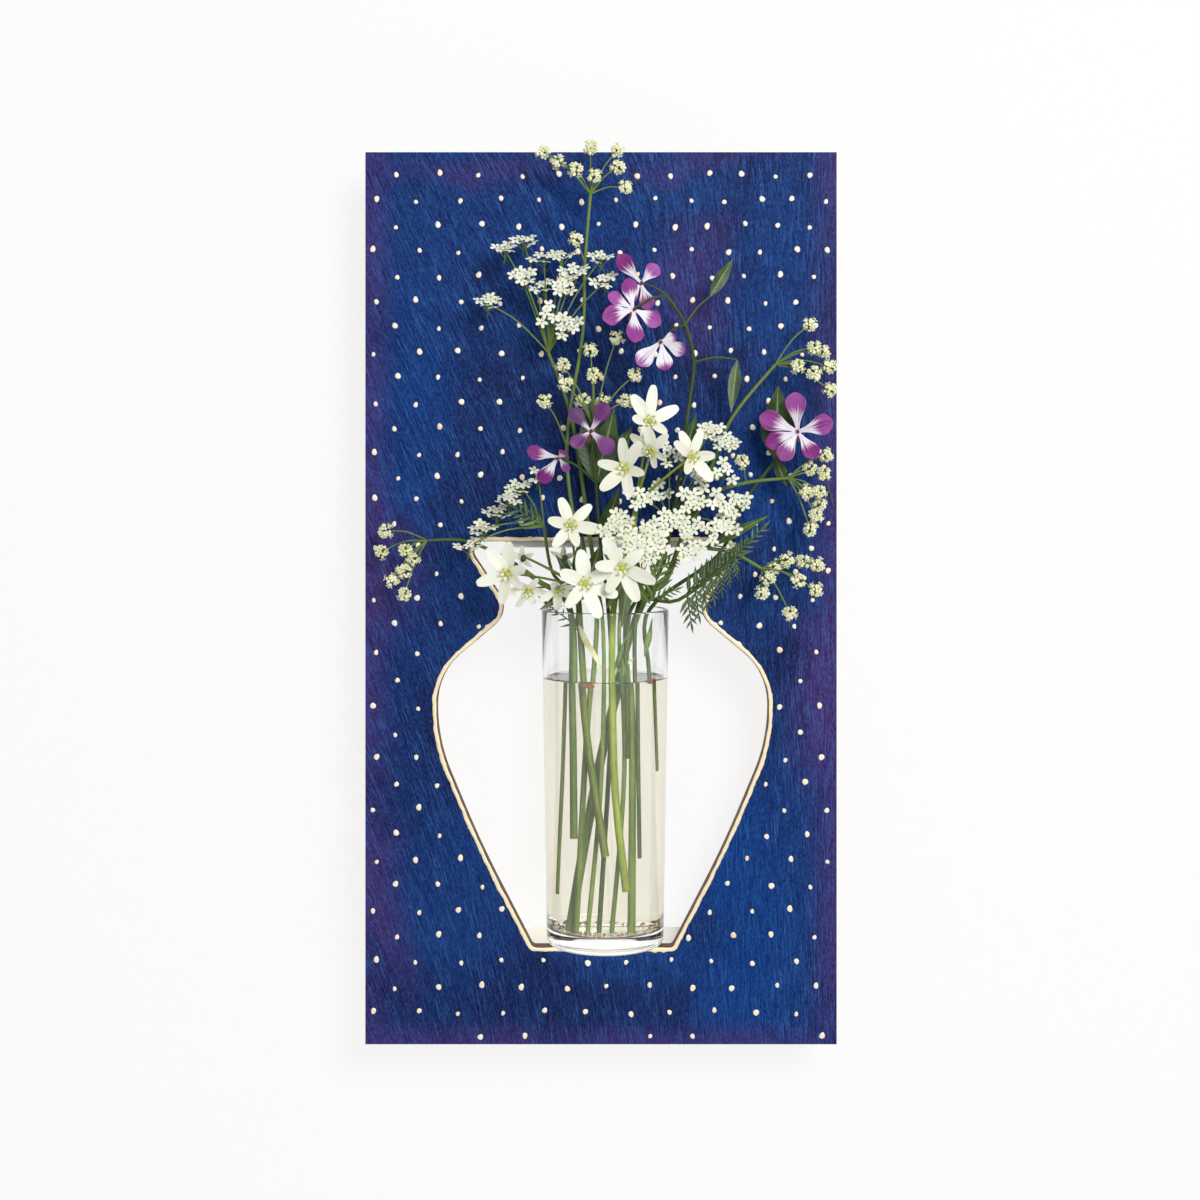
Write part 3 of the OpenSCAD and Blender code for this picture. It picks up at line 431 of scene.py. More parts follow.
finish = {
    "panel": stainedPlywood(), "wood": paintedWood(), "zinc": zincSteel(), "felt": pressedFelt(),
    "line": goldPaint("gold_paint_line", "#fff3cc", "#e0c48c", 0.88, 1.03),
    "dots": goldPaint("gold_paint_dots", "#faf1dc", "#e2c898", 0.84, 1.1),
    "glass": clearLiquid("clear_glass", "#fdfefd", 1.5),
    "water": clearLiquid("water", "#f2ede0", 1.333),
    "silt": newMaterial("brown_silt", {"Base Color": "#7a4a2a", "Roughness": 0.8})[0],
    "starPetal": petalSkin("star_petal", "#c9d294", "#dcddc9", "#f6f5e8", -0.05, 0.3, 0.25),
    "starHeart": petalSkin("star_heart", "#86a03a", "#b5bb45", "#e8d66c", 0.0, 0.9, 0.1),
    "violetPetal": petalSkin("violet_petal", "#efe6ef", "#7c1f76", "#a452a4", 0.4, 0.64, 0.75),
    "darkPetal": petalSkin("dark_violet_petal", "#dccadc", "#4f1c5a", "#77387e", 0.16, 0.42, 0.75),
    "palePetal": petalSkin("pale_violet_petal", "#f0e9f1", "#8a2e84", "#ac62ac", 0.66, 0.92, 0.6),
    "calyx": greenStem("red_brown_calyx", "#8a5a58", "#6a3a44"),
    "lacePetal": petalSkin("lace_petal", "#cfd795", "#ecebd2", "#f9f7e6", 0.0, 0.25, 0.08),
    "budSkin": petalSkin("bud_skin", "#9db150", "#e6e6ae", "#f7f4d4", 0.1, 0.5, 0.12),
    "stem": greenStem("green_stem", "#657528", "#374d18"),
    "brightStem": greenStem("yellow_green_stem", "#97a33a", "#627824"),
    "oliveStem": greenStem("olive_stem", "#465820", "#223413"),
    "paleRay": greenStem("pale_ray", "#72873e", "#415a24"),
    "leaf": leafSkin("leaf", "#5a782e", "#304d1c"),
    "withered": leafSkin("withered_leaf", "#c4bc94", "#8f7f58"),
    "darkLeaf": leafSkin("dark_leaf", "#365523", "#1b3415"),
}
for node, key in (("panel", "panel"), ("hanging_block", "wood"), ("ledge_block", "wood"),
                  ("hanger_plate", "zinc"), ("hanger_screws", "zinc"), ("wall_bumpers", "felt")):
    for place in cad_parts[node].material_slots:
        place.material = finish[key]
print("materials made")


# The cut-out's outline, worked out as the panel is: straight runs with arcs at the corners, in mm
cutOut = {"x": 1, "low": -256, "height": 241, "base": 83, "belly": 197, "neck": 109, "lip": 164,
          "flank": (0.73, 0.243), "bellyLow": 0.506, "bellyHigh": 0.674, "neckAt": 0.827,
          "fillets": (3, 600, 100, 40, 14, 6), "arcSteps": 12}


# An arc in a corner: its middle lies on the corner's bisector, at the radius over the sine of the half angle,
# and it touches each side at the radius over that angle's tangent
def arcCorner(before, corner, after, radius):
    u, w = unit(before - corner), unit(after - corner)
    half = math.acos(u @ w) / 2
    middle = corner + unit(u + w) * radius / math.sin(half)
    first, last = corner + u * radius / math.tan(half) - middle, corner + w * radius / math.tan(half) - middle
    start = math.atan2(first[1], first[0])
    sweep = (math.atan2(last[1], last[0]) - start + 3 * math.pi) % (2 * math.pi) - math.pi
    t = start + sweep * np.linspace(0, 1, cutOut["arcSteps"] + 1)
    return middle + radius * np.stack([np.cos(t), np.sin(t)], 1)


# The right half, from the middle of the base up to the middle of the lip
def cutHalf():
    c, h = cutOut, cutOut["height"]
    corners = np.array([[0, 0], [c["base"] / 2, 0], [c["belly"] / 2 * c["flank"][0], h * c["flank"][1]],
                        [c["belly"] / 2, h * c["bellyLow"]], [c["belly"] / 2, h * c["bellyHigh"]],
                        [c["neck"] / 2, h * c["neckAt"]], [c["lip"] / 2, h], [0, h]])
    return np.concatenate([arcCorner(corners[i - 1], corners[i], corners[i + 1], c["fillets"][i - 1])
                           for i in range(1, len(corners) - 1)])


halfOutline = cutHalf()

# The gold line: a domed bead of paint on the cut-out's edge, which wanders and swells, in waves so many times
# round the outline, and has blobs. Its section is shares of its width, and of its height above the face
goldLine = {"width": 2.35, "thick": 0.45, "step": 0.9, "gap": 0.15, "wander": 0.16, "wanderWaves": (9, 23, 61),
            "swell": 0.09, "swellWaves": (7, 19, 41, 83), "ripple": 0.04, "rippleWaves": (131, 217),
            "uneven": 0.2, "unevenWaves": (41, 89), "blobs": 11, "blobRise": (0.4, 1.2), "blobReach": (0.8, 1.8),
            "shares": (0, 0.1, 0.35, 0.65, 0.9, 1.0, 0.8, 0.2), "rise": (0, 0.55, 1, 1, 0.55, 0, -0.1, -0.1)}


# The section carried round the outline at even steps, square to it. A blob widens it by a bell curve
def goldBead():
    g = goldLine
    outline = np.concatenate([halfOutline, halfOutline[::-1] * [-1, 1]])
    closed = np.concatenate([outline, outline[:1]])
    run = np.concatenate([[0], np.cumsum(np.linalg.norm(np.diff(closed, axis=0), axis=1))])
    count = int(run[-1] / g["step"])
    s = np.arange(count) * run[-1] / count
    at = np.stack([np.interp(s, run, closed[:, m]) for m in (0, 1)], 1)
    along = unit(np.roll(at, -2, axis=0) - np.roll(at, 2, axis=0))
    out = np.stack([along[:, 1], -along[:, 0]], 1)

    def waver(waves):
        return sum(np.sin(2 * np.pi * n * s / run[-1] + rng.uniform(0, 6)) for n in waves) / len(waves) ** 0.5

    inner = g["gap"] + g["wander"] * np.abs(waver(g["wanderWaves"]))
    width = g["width"] * (1 + g["swell"] * waver(g["swellWaves"]) + g["ripple"] * waver(g["rippleWaves"]))
    for place in rng.uniform(0, run[-1], g["blobs"]):
        away = np.abs((s - place + run[-1] / 2) % run[-1] - run[-1] / 2)
        width = width + rng.uniform(*g["blobRise"]) * np.exp(-(away / rng.uniform(*g["blobReach"])) ** 2)
    shares, rise = np.array(g["shares"]), np.array(g["rise"])
    offset = inner[:, None] + width[:, None] * shares[None]
    height = g["thick"] * rise[None] * (1 + g["uneven"] * waver(g["unevenWaves"]))[:, None]
    flat = at[:, None] + out[:, None] * offset[..., None]
    rings = np.stack([flat[..., 0] + cutOut["x"], panel["face"] - height, flat[..., 1] + cutOut["low"]], -1)
    return skin(rings, across=np.abs(2 * shares - 1), tone=0.25, loop=True)


piece("gold_line_paint", goldBead(), finish["line"], "frame", ["gold_line"])

# The dots: small domes of paint in rows that wander like a hand's, at the CAD's places. Every other row is
# shifted by half a step, a row's middle is pushed to the right by its bow, and the rows in one stretch sag
dots = {"rows": 35, "top": 12.7, "bottom": 11.1, "radius": 1.45, "thick": 0.4, "margin": 4, "topGap": 13.4,
        "lowGap": 4, "shift": 5.6, "bow": 0.17, "wander": 1.2, "sag": 5, "sagFrom": 0.32, "sagTo": 0.62,
        "uneven": 0.18, "tall": 1.14, "lumps": 0.08, "sides": 14, "cream": 0.12, "peach": 0.7, "peachShare": 0.04,
        "shares": (0.9, 1.0, 0.8, 0.45, 0.08), "rise": (-0.1, 0.1, 0.75, 1, 1.05)}


# Each dot is a section turned round, its radius lumpy by sines of twice and three times the angle
def goldDots():
    d = dots
    row, k = np.meshgrid(np.arange(d["rows"]), np.arange(math.ceil(d["top"]) + 1), indexing="ij")
    share = row / (d["rows"] - 1)
    inRow = d["top"] + (d["bottom"] - d["top"]) * share
    bow = d["bow"] * (1 - share)
    s = (k + (row + 1) % 2 / 2) / inRow
    x = d["shift"] + panel["width"] * (s + bow * s * (1 - s)) - panel["width"] / 2 \
        + d["wander"] * np.sin(np.radians(143 * k + 97 * row))
    pitch = (panel["high"] - panel["low"] - d["topGap"] - d["lowGap"]) / (d["rows"] - 1)
    sagAt = np.clip((share - d["sagFrom"]) / (d["sagTo"] - d["sagFrom"]), 0, 1)
    z = panel["high"] - d["topGap"] - row * pitch + d["sag"] * np.sin(np.pi * sagAt) \
        + d["wander"] * np.sin(np.radians(97 * k + 143 * row))
    size = 1 + d["uneven"] * np.sin(np.radians(143 * (row + k * k)))
    reach = goldLine["width"] + 0.2 + d["margin"]
    opening = np.interp(z - cutOut["low"], halfOutline[:, 1], halfOutline[:, 0]) + reach
    beside = (z < cutOut["low"] - reach) | (z > cutOut["low"] + cutOut["height"] + reach) \
        | (np.abs(x - cutOut["x"]) > opening)
    kept = (np.abs(x) < panel["width"] / 2 - d["margin"]) & (z > panel["low"] + d["margin"]) & beside
    x, z, size = x[kept], z[kept], size[kept]
    a = np.arange(d["sides"]) * 2 * np.pi / d["sides"]
    lump = 1 + d["lumps"] * np.sin(2 * a[None] + rng.uniform(0, 6, (len(x), 1))) \
        + d["lumps"] * 0.7 * np.sin(3 * a[None] + rng.uniform(0, 6, (len(x), 1)))
    shares, rise = np.array(d["shares"]), np.array(d["rise"])[:, None]
    shapes = []
    for i in range(len(x)):
        r = d["radius"] * size[i] * lump[i][None] * shares[:, None]
        dot = skin(np.stack([x[i] + r * np.cos(a), panel["face"] - d["thick"] * rise + 0 * r,
                             z[i] + r * d["tall"] * np.sin(a)], -1))
        dot["uv"][:, 0] = np.repeat(shares, d["sides"])
        dot["tone"][:] = d["peach"] if rng.random() < d["peachShare"] else rng.uniform(0, d["cream"])
        shapes.append(dot)
    return together(shapes)


piece("gold_dots_paint", goldDots(), finish["dots"], "frame", ["gold_dots"])
print("panel painted")

# The glass: a thick base with a shallow hollow under it, tapered walls and a fire-polished rim
glass = {"x": 2.5, "y": -42, "low": -255.7, "height": 200, "rimR": 38, "footR": 35, "wall": 2, "base": 10,
         "round": 4, "innerRound": 5, "punt": 1.5, "ring": 9, "land": 1, "middle": (0.05, 12)}
water = {"high": -97, "overlap": 0.2, "meniscus": 0.9, "climb": 3}
innerFoot, innerRim = glass["footR"] - glass["wall"], glass["rimR"] - glass["wall"]
floorZ, rimZ = glass["low"] + glass["base"], glass["low"] + glass["height"]
wallSteps = (0.2, 0.4, 0.6, 0.8)


# Points of a profile's arc, in ten steps between two angles in degrees
def arcRun(middle, r, start, end):
    t = np.radians(np.linspace(start, end, 11))
    return np.array(middle) + r * np.stack([np.cos(t), np.sin(t)], 1)


# From the hollow's middle round the foot, up the outer wall, over the rim and down to the floor's middle
def glassShape():
    g, h = glass, glass["height"]
    profile = np.concatenate([
        [[r, g["punt"]] for r in g["middle"]], [[g["footR"] - g["ring"], g["punt"]],
         [g["footR"] - g["round"] - g["land"], 0]],
        arcRun([g["footR"] - g["round"], g["round"]], g["round"], -90, 0),
        [[g["footR"] + (g["rimR"] - g["footR"]) * t, g["round"] + (h - g["round"]) * t] for t in wallSteps],
        arcRun([g["rimR"] - g["wall"] / 2, h - g["wall"] / 2], g["wall"] / 2, 0, 180),
        [[innerRim + (innerFoot - innerRim) * t, h + (g["base"] - h) * t] for t in wallSteps],
        arcRun([innerFoot - g["innerRound"], g["base"] + g["innerRound"]], g["innerRound"], 0, -90),
        [[r, g["base"]] for r in g["middle"][::-1]]])
    return lathe(profile, (g["x"], g["y"], g["low"]))


# Water fills the glass: it laps a little over the glass's inner skin, so no air shows between them, and climbs
# the wall in a meniscus, by the square of the nearness to the wall
def waterShape():
    over, high, m, bend = water["overlap"], water["high"], water["meniscus"], glass["innerRound"]
    r = innerFoot + (innerRim - innerFoot) * (high - floorZ) / (rimZ - floorZ)
    t = np.linspace(0, 1, 8)
    profile = np.concatenate([
        [[glass["middle"][0], floorZ - over], [innerFoot - bend, floorZ - over]],
        arcRun([innerFoot - bend, floorZ + bend], bend + over, -90, 0),
        [[innerFoot + over + (r - innerFoot) * s, floorZ + bend + (high - floorZ) * s] for s in (0.3, 0.6)],
        np.stack([r + over - water["climb"] * t, high + m * (1 - t) ** 2], 1), [[glass["middle"][0], high]]])
    return lathe(profile, (glass["x"], glass["y"], 0))


piece("glass_tumbler", glassShape(), finish["glass"], "glass", ["glass"])
piece("glass_water", waterShape(), finish["water"], "glass")

# Silt and leaf crumbs: most lie round the floor's edge, and some float at the front of the waterline
# in four drifts, each at an angle in degrees. Two flakes of a withered petal hang under the surface
silt = {"onFloor": 190, "floorFrom": 0.3, "afloat": 90, "grain": 0.5, "sizes": (0.5, 1.6), "spread": 0.13,
        "drifts": (-158, -140, -106, -36), "flakes": ((-106, 6.4, 3.4), (-40, 5.6, 1.8))}


# Grains are small eggs laid flat. On the floor a radius is the root of an even draw. Afloat it falls off from
# the wall by the cube of one
def siltGrains():
    n, m = silt["onFloor"], silt["afloat"]
    drifts = np.radians(np.array(silt["drifts"]))[rng.integers(0, len(silt["drifts"]), m)]
    a = np.concatenate([rng.uniform(0, 2 * np.pi, n), drifts + rng.normal(0, silt["spread"], m)])
    r = np.concatenate([np.sqrt(rng.uniform(silt["floorFrom"], 1, n)) * (innerFoot - 4.2),
                        innerFoot + 1.2 - 2.5 * rng.random(m) ** 3])
    z = np.concatenate([np.full(n, floorZ + 0.35), np.full(m, water["high"] + 0.5)])
    places = np.stack([glass["x"] + r * np.cos(a), glass["y"] + r * np.sin(a), z], 1)
    sizes = silt["grain"] * rng.uniform(*silt["sizes"], n + m)
    turns = np.stack([turn("z", b) @ turn("y", 80) * q for b, q in zip(rng.uniform(0, 360, n + m), sizes)])
    flakes = []
    for angle, long, wide in silt["flakes"]:
        spot = np.array([glass["x"] + innerFoot * math.cos(math.radians(angle)) - long / 2,
                         glass["y"] + innerFoot * math.sin(math.radians(angle)), water["high"] - wide / 2 + 0.8])
        shape = blade(long, wide, (0.5, 0.9, 1, 0.8, 0.5), 0.15, 0.2, 0.1, 6, 6, 0.3)
        flakes.append(moved(shape, turn("y", 96), spot))
    return together([copies(egg(0.8, 2.4, 4, 6), turns, places)] + flakes)


piece("glass_silt", siltGrains(), finish["silt"], "glass")
print("glass filled")

# Flowers. Places above the rim are shares of their half spread, depth and height; places in the glass
# are shares of the way to where a stalk leans on the wall, and of its depth, as in the CAD part
spray = {"width": 264, "height": 270, "depth": 58, "clear": 4, "stem": 2.6, "seat": 0.3, "footLean": 0.15,
         "thin": 0.5, "thick": 0.9, "fork": 0.6, "tip": 0.35, "ray": 0.18, "veer": 0.3}


# A place above the rim: shares of the half width, of the depth before the face, and of the height
def above(share):
    return np.array([glass["x"] + share[0] * spray["width"] / 2,
                     panel["face"] - spray["clear"] - share[1] * spray["depth"],
                     rimZ + share[2] * spray["height"]])


# A place in the glass: shares of the inner radius less the stalk's own, and of the height over the floor
def inGlass(share, stalkR):
    r = innerFoot + (innerRim - innerFoot) * share[2] - stalkR - spray["seat"]
    return np.array([glass["x"] + share[0] * r, glass["y"] - share[1] * r,
                     floorZ + spray["seat"] + stalkR * spray["footLean"] + share[2] * (rimZ - floorZ)])


# A stalk is a tube through places in the glass, then above it, from a share of the stem's radius to another
def stalk(inShares, upShares, footShare, endShare=spray["tip"], tone=0.0):
    footR, endR = spray["stem"] * footShare, spray["stem"] * endShare
    route = [inGlass(s, footR) for s in inShares] + [above(s) for s in upShares]
    return tube(smoothPath(route), footR, endR, 10, tone)


# Rays fan out from one place
def rays(start, ends, share, arch=0.08):
    return [rayTube(above(start), above(end), spray["stem"] * share, arch) for end in ends]


# A leaf is a blade that spans two places, as wide as a share of its length
def leaf(start, end, width, curl=0.08):
    a, b = above(start), above(end)
    length = np.linalg.norm(b - a)
    shape = blade(length, length * width, (0.06, 0.55, 0.9, 1, 0.9, 0.66, 0.36, 0.03), 0.05, 0.25, curl, 11,
                  twist=rng.uniform(-spray["veer"], spray["veer"]))
    return moved(shape, aim(b - a), a, rng.uniform(0, 0.3))


# A feathery leaf: a rib with narrow pointed blades in pairs that lean forwards and shorten to its tip. A blade is
# reach times the rib long, less 0.62 of that times how far along the rib it stands
def feather(start, end, reach, pairs=5, width=0.2, lean=42):
    start, end = np.asarray(start, float), np.asarray(end, float)
    along = above(end) - above(start)
    length = np.linalg.norm(along)
    blades = [tube([above(start), above(end)], 0.55, 0.25, 5), leaf(start + (end - start) * 0.72, end, width)]
    narrow = (0.25, 0.8, 1, 0.75, 0.4, 0.03)
    for i in range(pairs):
        share = 0.1 + 0.72 * i / pairs
        for side in (-1, 1):
            size = length * reach * (1 - 0.62 * share) * rng.uniform(0.85, 1.15)
            shape = blade(size, size * width, narrow, 0.1, 0.15, rng.uniform(0, 0.12), 6, 4,
                          twist=rng.uniform(-spray["veer"], spray["veer"]))
            place = above(start) + along * (share + 0.04 * side)
            blades.append(moved(shape, aim(along) @ turn("y", side * lean * rng.uniform(0.85, 1.15)), place,
                                rng.uniform(0, 0.3)))
    return blades


# White star flowers: six blunt petals, a green heart, and six flat white filaments with yellow anthers.
# A head is a place, how far it tips and turns, and its size. Its petals are directions clockwise from upright
# and lengths as shares of the petal
star = {"petal": 18.4, "width": 0.4, "profile": (0.42, 0.68, 0.88, 0.98, 1, 0.92, 0.74, 0.42), "blunt": 0.05,
        "crease": 0.34, "cup": 6, "shortCup": 45, "stagger": (-3, 6), "heart": 2.0, "filament": 5}


# A petal shorter than its full length is one that points at the room: it cups by how short it is, and its width
# falls towards 0.35 of the full one. Every other petal stands a little behind its neighbours
def starFlower(head, angles):
    place, turning = above(head), turn("z", head[4]) @ turn("x", head[3])
    length = star["petal"] * head[5]
    petals = []
    for i, (angle, share) in enumerate(angles):
        cup = star["cup"] + star["shortCup"] * max(0, 1 - share) + star["stagger"][i % 2] + rng.uniform(-6, 6)
        width = length * star["width"] * min(1, 0.35 + 0.65 * share) * rng.uniform(0.92, 1.06)
        shape = blade(length * share, width, star["profile"], 0.12, star["crease"], rng.uniform(-0.16, 0.2), 12, 10,
                      star["blunt"], twist=rng.uniform(-0.35, 0.35))
        petals.append(moved(shape, turning @ turn("y", angle) @ turn("x", cup),
                            place + turning @ [0, 0.5 * (i % 2), 0], rng.uniform(0.1, 0.9)))
    heart = [moved(egg(star["heart"] * head[5], 3.6), turning @ turn("x", 90), place, 0.1)]
    size = star["filament"] * head[5]
    for k in range(6):
        lean = turning @ turn("y", 60 * k + 25) @ turn("x", 46)
        petals.append(moved(blade(size, 2.1, (1, 0.95, 0.75, 0.3), 0.25, 0, 0, 4, 6), lean, place, 0.6))
        heart.append(moved(egg(0.65, 2.1, 4, 6), lean @ turn("y", 70), place + lean @ [0, -0.4, size], 0.9))
    return petals, heart


# Violet flowers: four petals, each with a narrow white claw that opens into a round veined blade
violet = {"petal": 20, "width": 0.56, "profile": (0.15, 0.2, 0.32, 0.56, 0.84, 1, 0.98, 0.8), "blunt": 0.3,
          "crease": 0.16, "cup": 18}


# A shorter petal's width falls towards 0.4 of the full one, each petal cups by a draw, and a tube and four
# sepals stand behind them
def violetFlower(head, angles):
    place, turning = above(head), turn("z", head[4]) @ turn("x", head[3])
    length = violet["petal"] * head[5]
    petals = []
    for angle, share in angles:
        width = length * violet["width"] * min(1, 0.4 + 0.6 * share) * rng.uniform(0.88, 1.1)
        shape = blade(length * share, width, violet["profile"], 0.06, violet["crease"], rng.uniform(-0.2, 0.14),
                      14, 12, violet["blunt"], twist=rng.uniform(-0.5, 0.5))
        petals.append(moved(shape, turning @ turn("y", angle) @ turn("x", rng.uniform(0, violet["cup"])), place,
                            rng.uniform(0, 0.9)))
    backs = [tube([place, place + turning @ [0, 6, -5]], 1.5, 0.9, 6)]
    backs += [moved(egg(0.5, 2.6, 4, 6), turning @ turn("y", 90 * k + 30) @ turn("x", 62),
                    place + turning @ [0, -0.6, 0], 0.1) for k in range(4)]
    return petals, backs


# Lace: a small umbel of five-petalled florets on fine rays, each petal notched
lace = {"radius": 7.4, "florets": 5, "floretR": 4.0, "dome": 2}


# Five petals round a middle, every other one turned on by 6 degrees
def floretShape():
    petal = blade(lace["floretR"], lace["floretR"] * 0.7, (0.2, 0.6, 1, 0.95), 0.14, 0.12, -0.1, 4, 4, 0.45, 0.05)
    return together([moved(petal, turn("y", 72 * k + 6 * (k % 2)), [0, 0, 0]) for k in range(5)])


floret = floretShape()


# Spots in a disc: each is 137.5 degrees on from the last, its radius grows as the root of its number, and the
# middle stands out in a dome
def umbelPlaces(radius, count, dome):
    k = np.arange(count)
    r = radius * np.sqrt((k + 0.4) / count) * rng.uniform(0.75, 1.08, count)
    a = np.radians(137.5 * k + rng.uniform(0, 360))
    return np.stack([r * np.cos(a), -dome * (1 - (r / radius) ** 2), r * np.sin(a)], 1)


# Rays to the heads, and at each head a floret at every spot, tipped outwards by 3 degrees for each mm from the
# middle and larger by 0.035 for each, on a knob and a fine stalk
def laceUmbel(hub, heads, tips):
    florets, stems = [], rays(hub, heads, spray["ray"])
    knob = egg(0.55, 0.9, 4, 4)
    for head, tip in zip(heads, tips):
        centre, turning = above(head), turn("x", -tip)
        count = lace["florets"] + int(rng.integers(-1, 3))
        spots = umbelPlaces(lace["radius"], count, lace["dome"])
        places = centre + spots @ turning.T
        turns = [turning @ turn("x", 3 * up + rng.uniform(-14, 14)) @ turn("z", -3 * side + rng.uniform(-14, 14))
                 @ turn("y", rng.uniform(0, 360))
                 * (0.8 + 0.035 * math.hypot(side, up) + rng.uniform(-0.08, 0.08)) for side, out, up in spots]
        florets.append(copies(floret, turns, places, rng.uniform(0, 0.9, count)))
        base = centre + turning @ [0, 5.5, -0.5]
        stems += [tube([base, p + t @ [0, 0.4, 0]], 0.26, 0.2, 4) for p, t in zip(places, turns)]
        stems.append(copies(knob, [t @ turn("x", 90) for t in turns], places, 0.0))
        stems.append(tube([above(head), base], 0.5, 0.5, 6))
        for k in range(4):
            stems.append(moved(blade(4.2, 0.9, (1, 0.8, 0.1), 0.2, 0.1, 0.1, 4, 4),
                               turning @ turn("y", 90 * k + 20) @ turn("x", -50), base, 0.3))
    return florets, stems


# Buds: a tight group of small round buds, cream over green, some of them open in tiny cream florets
bud = {"radius": 1.8, "count": 11, "size": 1.3, "open": 0.5}


# Rays to the heads, and at each head eggs that look outwards over the front of a ball, 137.5 degrees apart.
# Every other bud is an open floret
def budUmbel(hub, heads):
    balls, stems = [], rays(hub, heads, spray["ray"], 0.1)
    shape = egg(bud["size"], bud["size"] * 2.1, 5, 6)
    for head in heads:
        centre = above(head)
        k = np.arange(bud["count"])
        up = 1 - 1.5 * (k + 0.5) / bud["count"]
        a = np.radians(137.5 * k + rng.uniform(0, 360))
        flat = np.sqrt(1 - up ** 2)
        out = unit(np.stack([flat * np.cos(a), -np.abs(up) - 0.2, flat * np.sin(a)], 1))
        places = centre + out * bud["radius"] * rng.uniform(0.7, 1.35, (bud["count"], 1))
        aims = [aim(o) for o in out]
        balls.append(copies(shape, [t * rng.uniform(0.75, 1.15) for t in aims], places,
                            rng.uniform(0, 0.9, bud["count"])))
        tips = (places + out * bud["size"] * 1.9)[::2]
        opened = [t @ turn("x", 90) @ turn("y", rng.uniform(0, 72)) * bud["open"] * rng.uniform(0.8, 1.2)
                  for t in aims[::2]]
        balls.append(copies(floret, opened, tips, rng.uniform(0.3, 0.9, len(tips))))
        stems += [tube([centre + [0, 1.5, -1.5], p], 0.3, 0.3, 4) for p in places[1::2]]
    return balls, stems


# One piece for each name, from its shapes and its material. The first stands for the CAD cutting
def grow(node, slotName, *parts, stands=True):
    for i, (name, shapes, material) in enumerate(parts):
        piece(f"{node}_{name}", together(shapes), finish[material], "bouquet",
              [node] if stands and i == 0 else ())


# All the flowers' first parts, and all their second ones
def inTwo(pairs):
    firsts, seconds = zip(*pairs)
    return sum(firsts, []), sum(seconds, [])


# Cutting by cutting
def starCuttingLeft():
    node, fork = "star_cutting_left", (-0.12, 0.5, 0.06)
    heads = [
        ((-0.42, 0.72, 0.09, 10, -12, 1.05), ((-33, 1), (7, 1), (-108, 1), (-168, 0.95), (70, 0.7), (125, 0.7))),
        ((-0.34, 0.62, 0.055, 35, 20, 0.85), ((-96, 0.9), (-49, 0.8), (-162, 0.85), (150, 0.7), (20, 0.7), (80, 0.8))),
        ((-0.21, 0.66, 0.055, 30, 35, 0.8), ((-117, 0.9), (-47, 0.8), (170, 0.85), (10, 0.7), (110, 0.8), (60, 0.7))),
        ((-0.15, 0.68, 0.19, -8, 6, 0.95),
         ((-20, 0.98), (45, 0.95), (100, 1.05), (165, 0.78), (-141, 0.92), (-79, 0.86))),
        ((-0.09, 0.86, 0.07, -5, 14, 1.1), ((-7, 0.95), (61, 0.95), (111, 1), (161, 1.08), (-140, 0.86), (-68, 0.96)))]
    petals, hearts = inTwo(starFlower(*head) for head in heads)
    stems = [stalk([(0, 1, 0.25), (-0.3, 0.76, 0.6), (-0.46, 0.62, 1)], [fork], spray["thick"], spray["fork"])]
    stems += rays(fork, [h[0] for h in heads], 0.3, 0.02)
    # Two buds not yet open: green petals folded over white, at the end of short rays
    for place in ((-0.185, 0.46, 0.125), (-0.365, 0.5, 0.125)):
        stems += rays(fork, [place], 0.3, 0.02)
        for k in range(5):
            petals.append(moved(blade(9, 3.6, (0.3, 0.8, 1, 0.7, 0.2), 0.3, 0.3, -0.1 + 0.06 * k, 8, 8, twist=0.4),
                                turn("y", 62 * k - 60) @ turn("x", 30), above(place) + [0, 2, -2], 0.2 + 0.1 * k))
        stems.append(moved(egg(1.7, 5, 6, 8), turn("y", 25), above(place) + [0, 0, -4], 0.3))
    grow(node, "white_flower", ("stems", stems, "stem"), ("petals", petals, "starPetal"),
         ("hearts", hearts, "starHeart"))
    leaves = [leaf(fork, (-0.29, 0.62, 0.01), 0.2), leaf(fork, (-0.22, 0.56, 0.13), 0.22),
              leaf((-0.1, 0.46, 0.03), (-0.02, 0.56, 0.15), 0.3), leaf(fork, (-0.1, 0.5, 0.17), 0.3)]
    # A sprig that bows over the rim, and withered sepals caught under it
    leaves += feather((-0.1, 0.02, -0.05), (-0.3, 0.2, 0.035), 0.24, 5, 0.2)
    withered = [leaf((-0.12, 0.14, -0.03), (-0.05, 0.24, -0.1), 0.16, 0.25),
                leaf((-0.1, 0.2, -0.05), (-0.01, 0.22, -0.125), 0.14, 0.3),
                leaf((0.13, 0.2, -0.1), (0.05, 0.2, -0.13), 0.14, 0.3)]
    grow(node, "leaf", ("leaves", leaves, "darkLeaf"), ("sepals", withered, "withered"), stands=False)


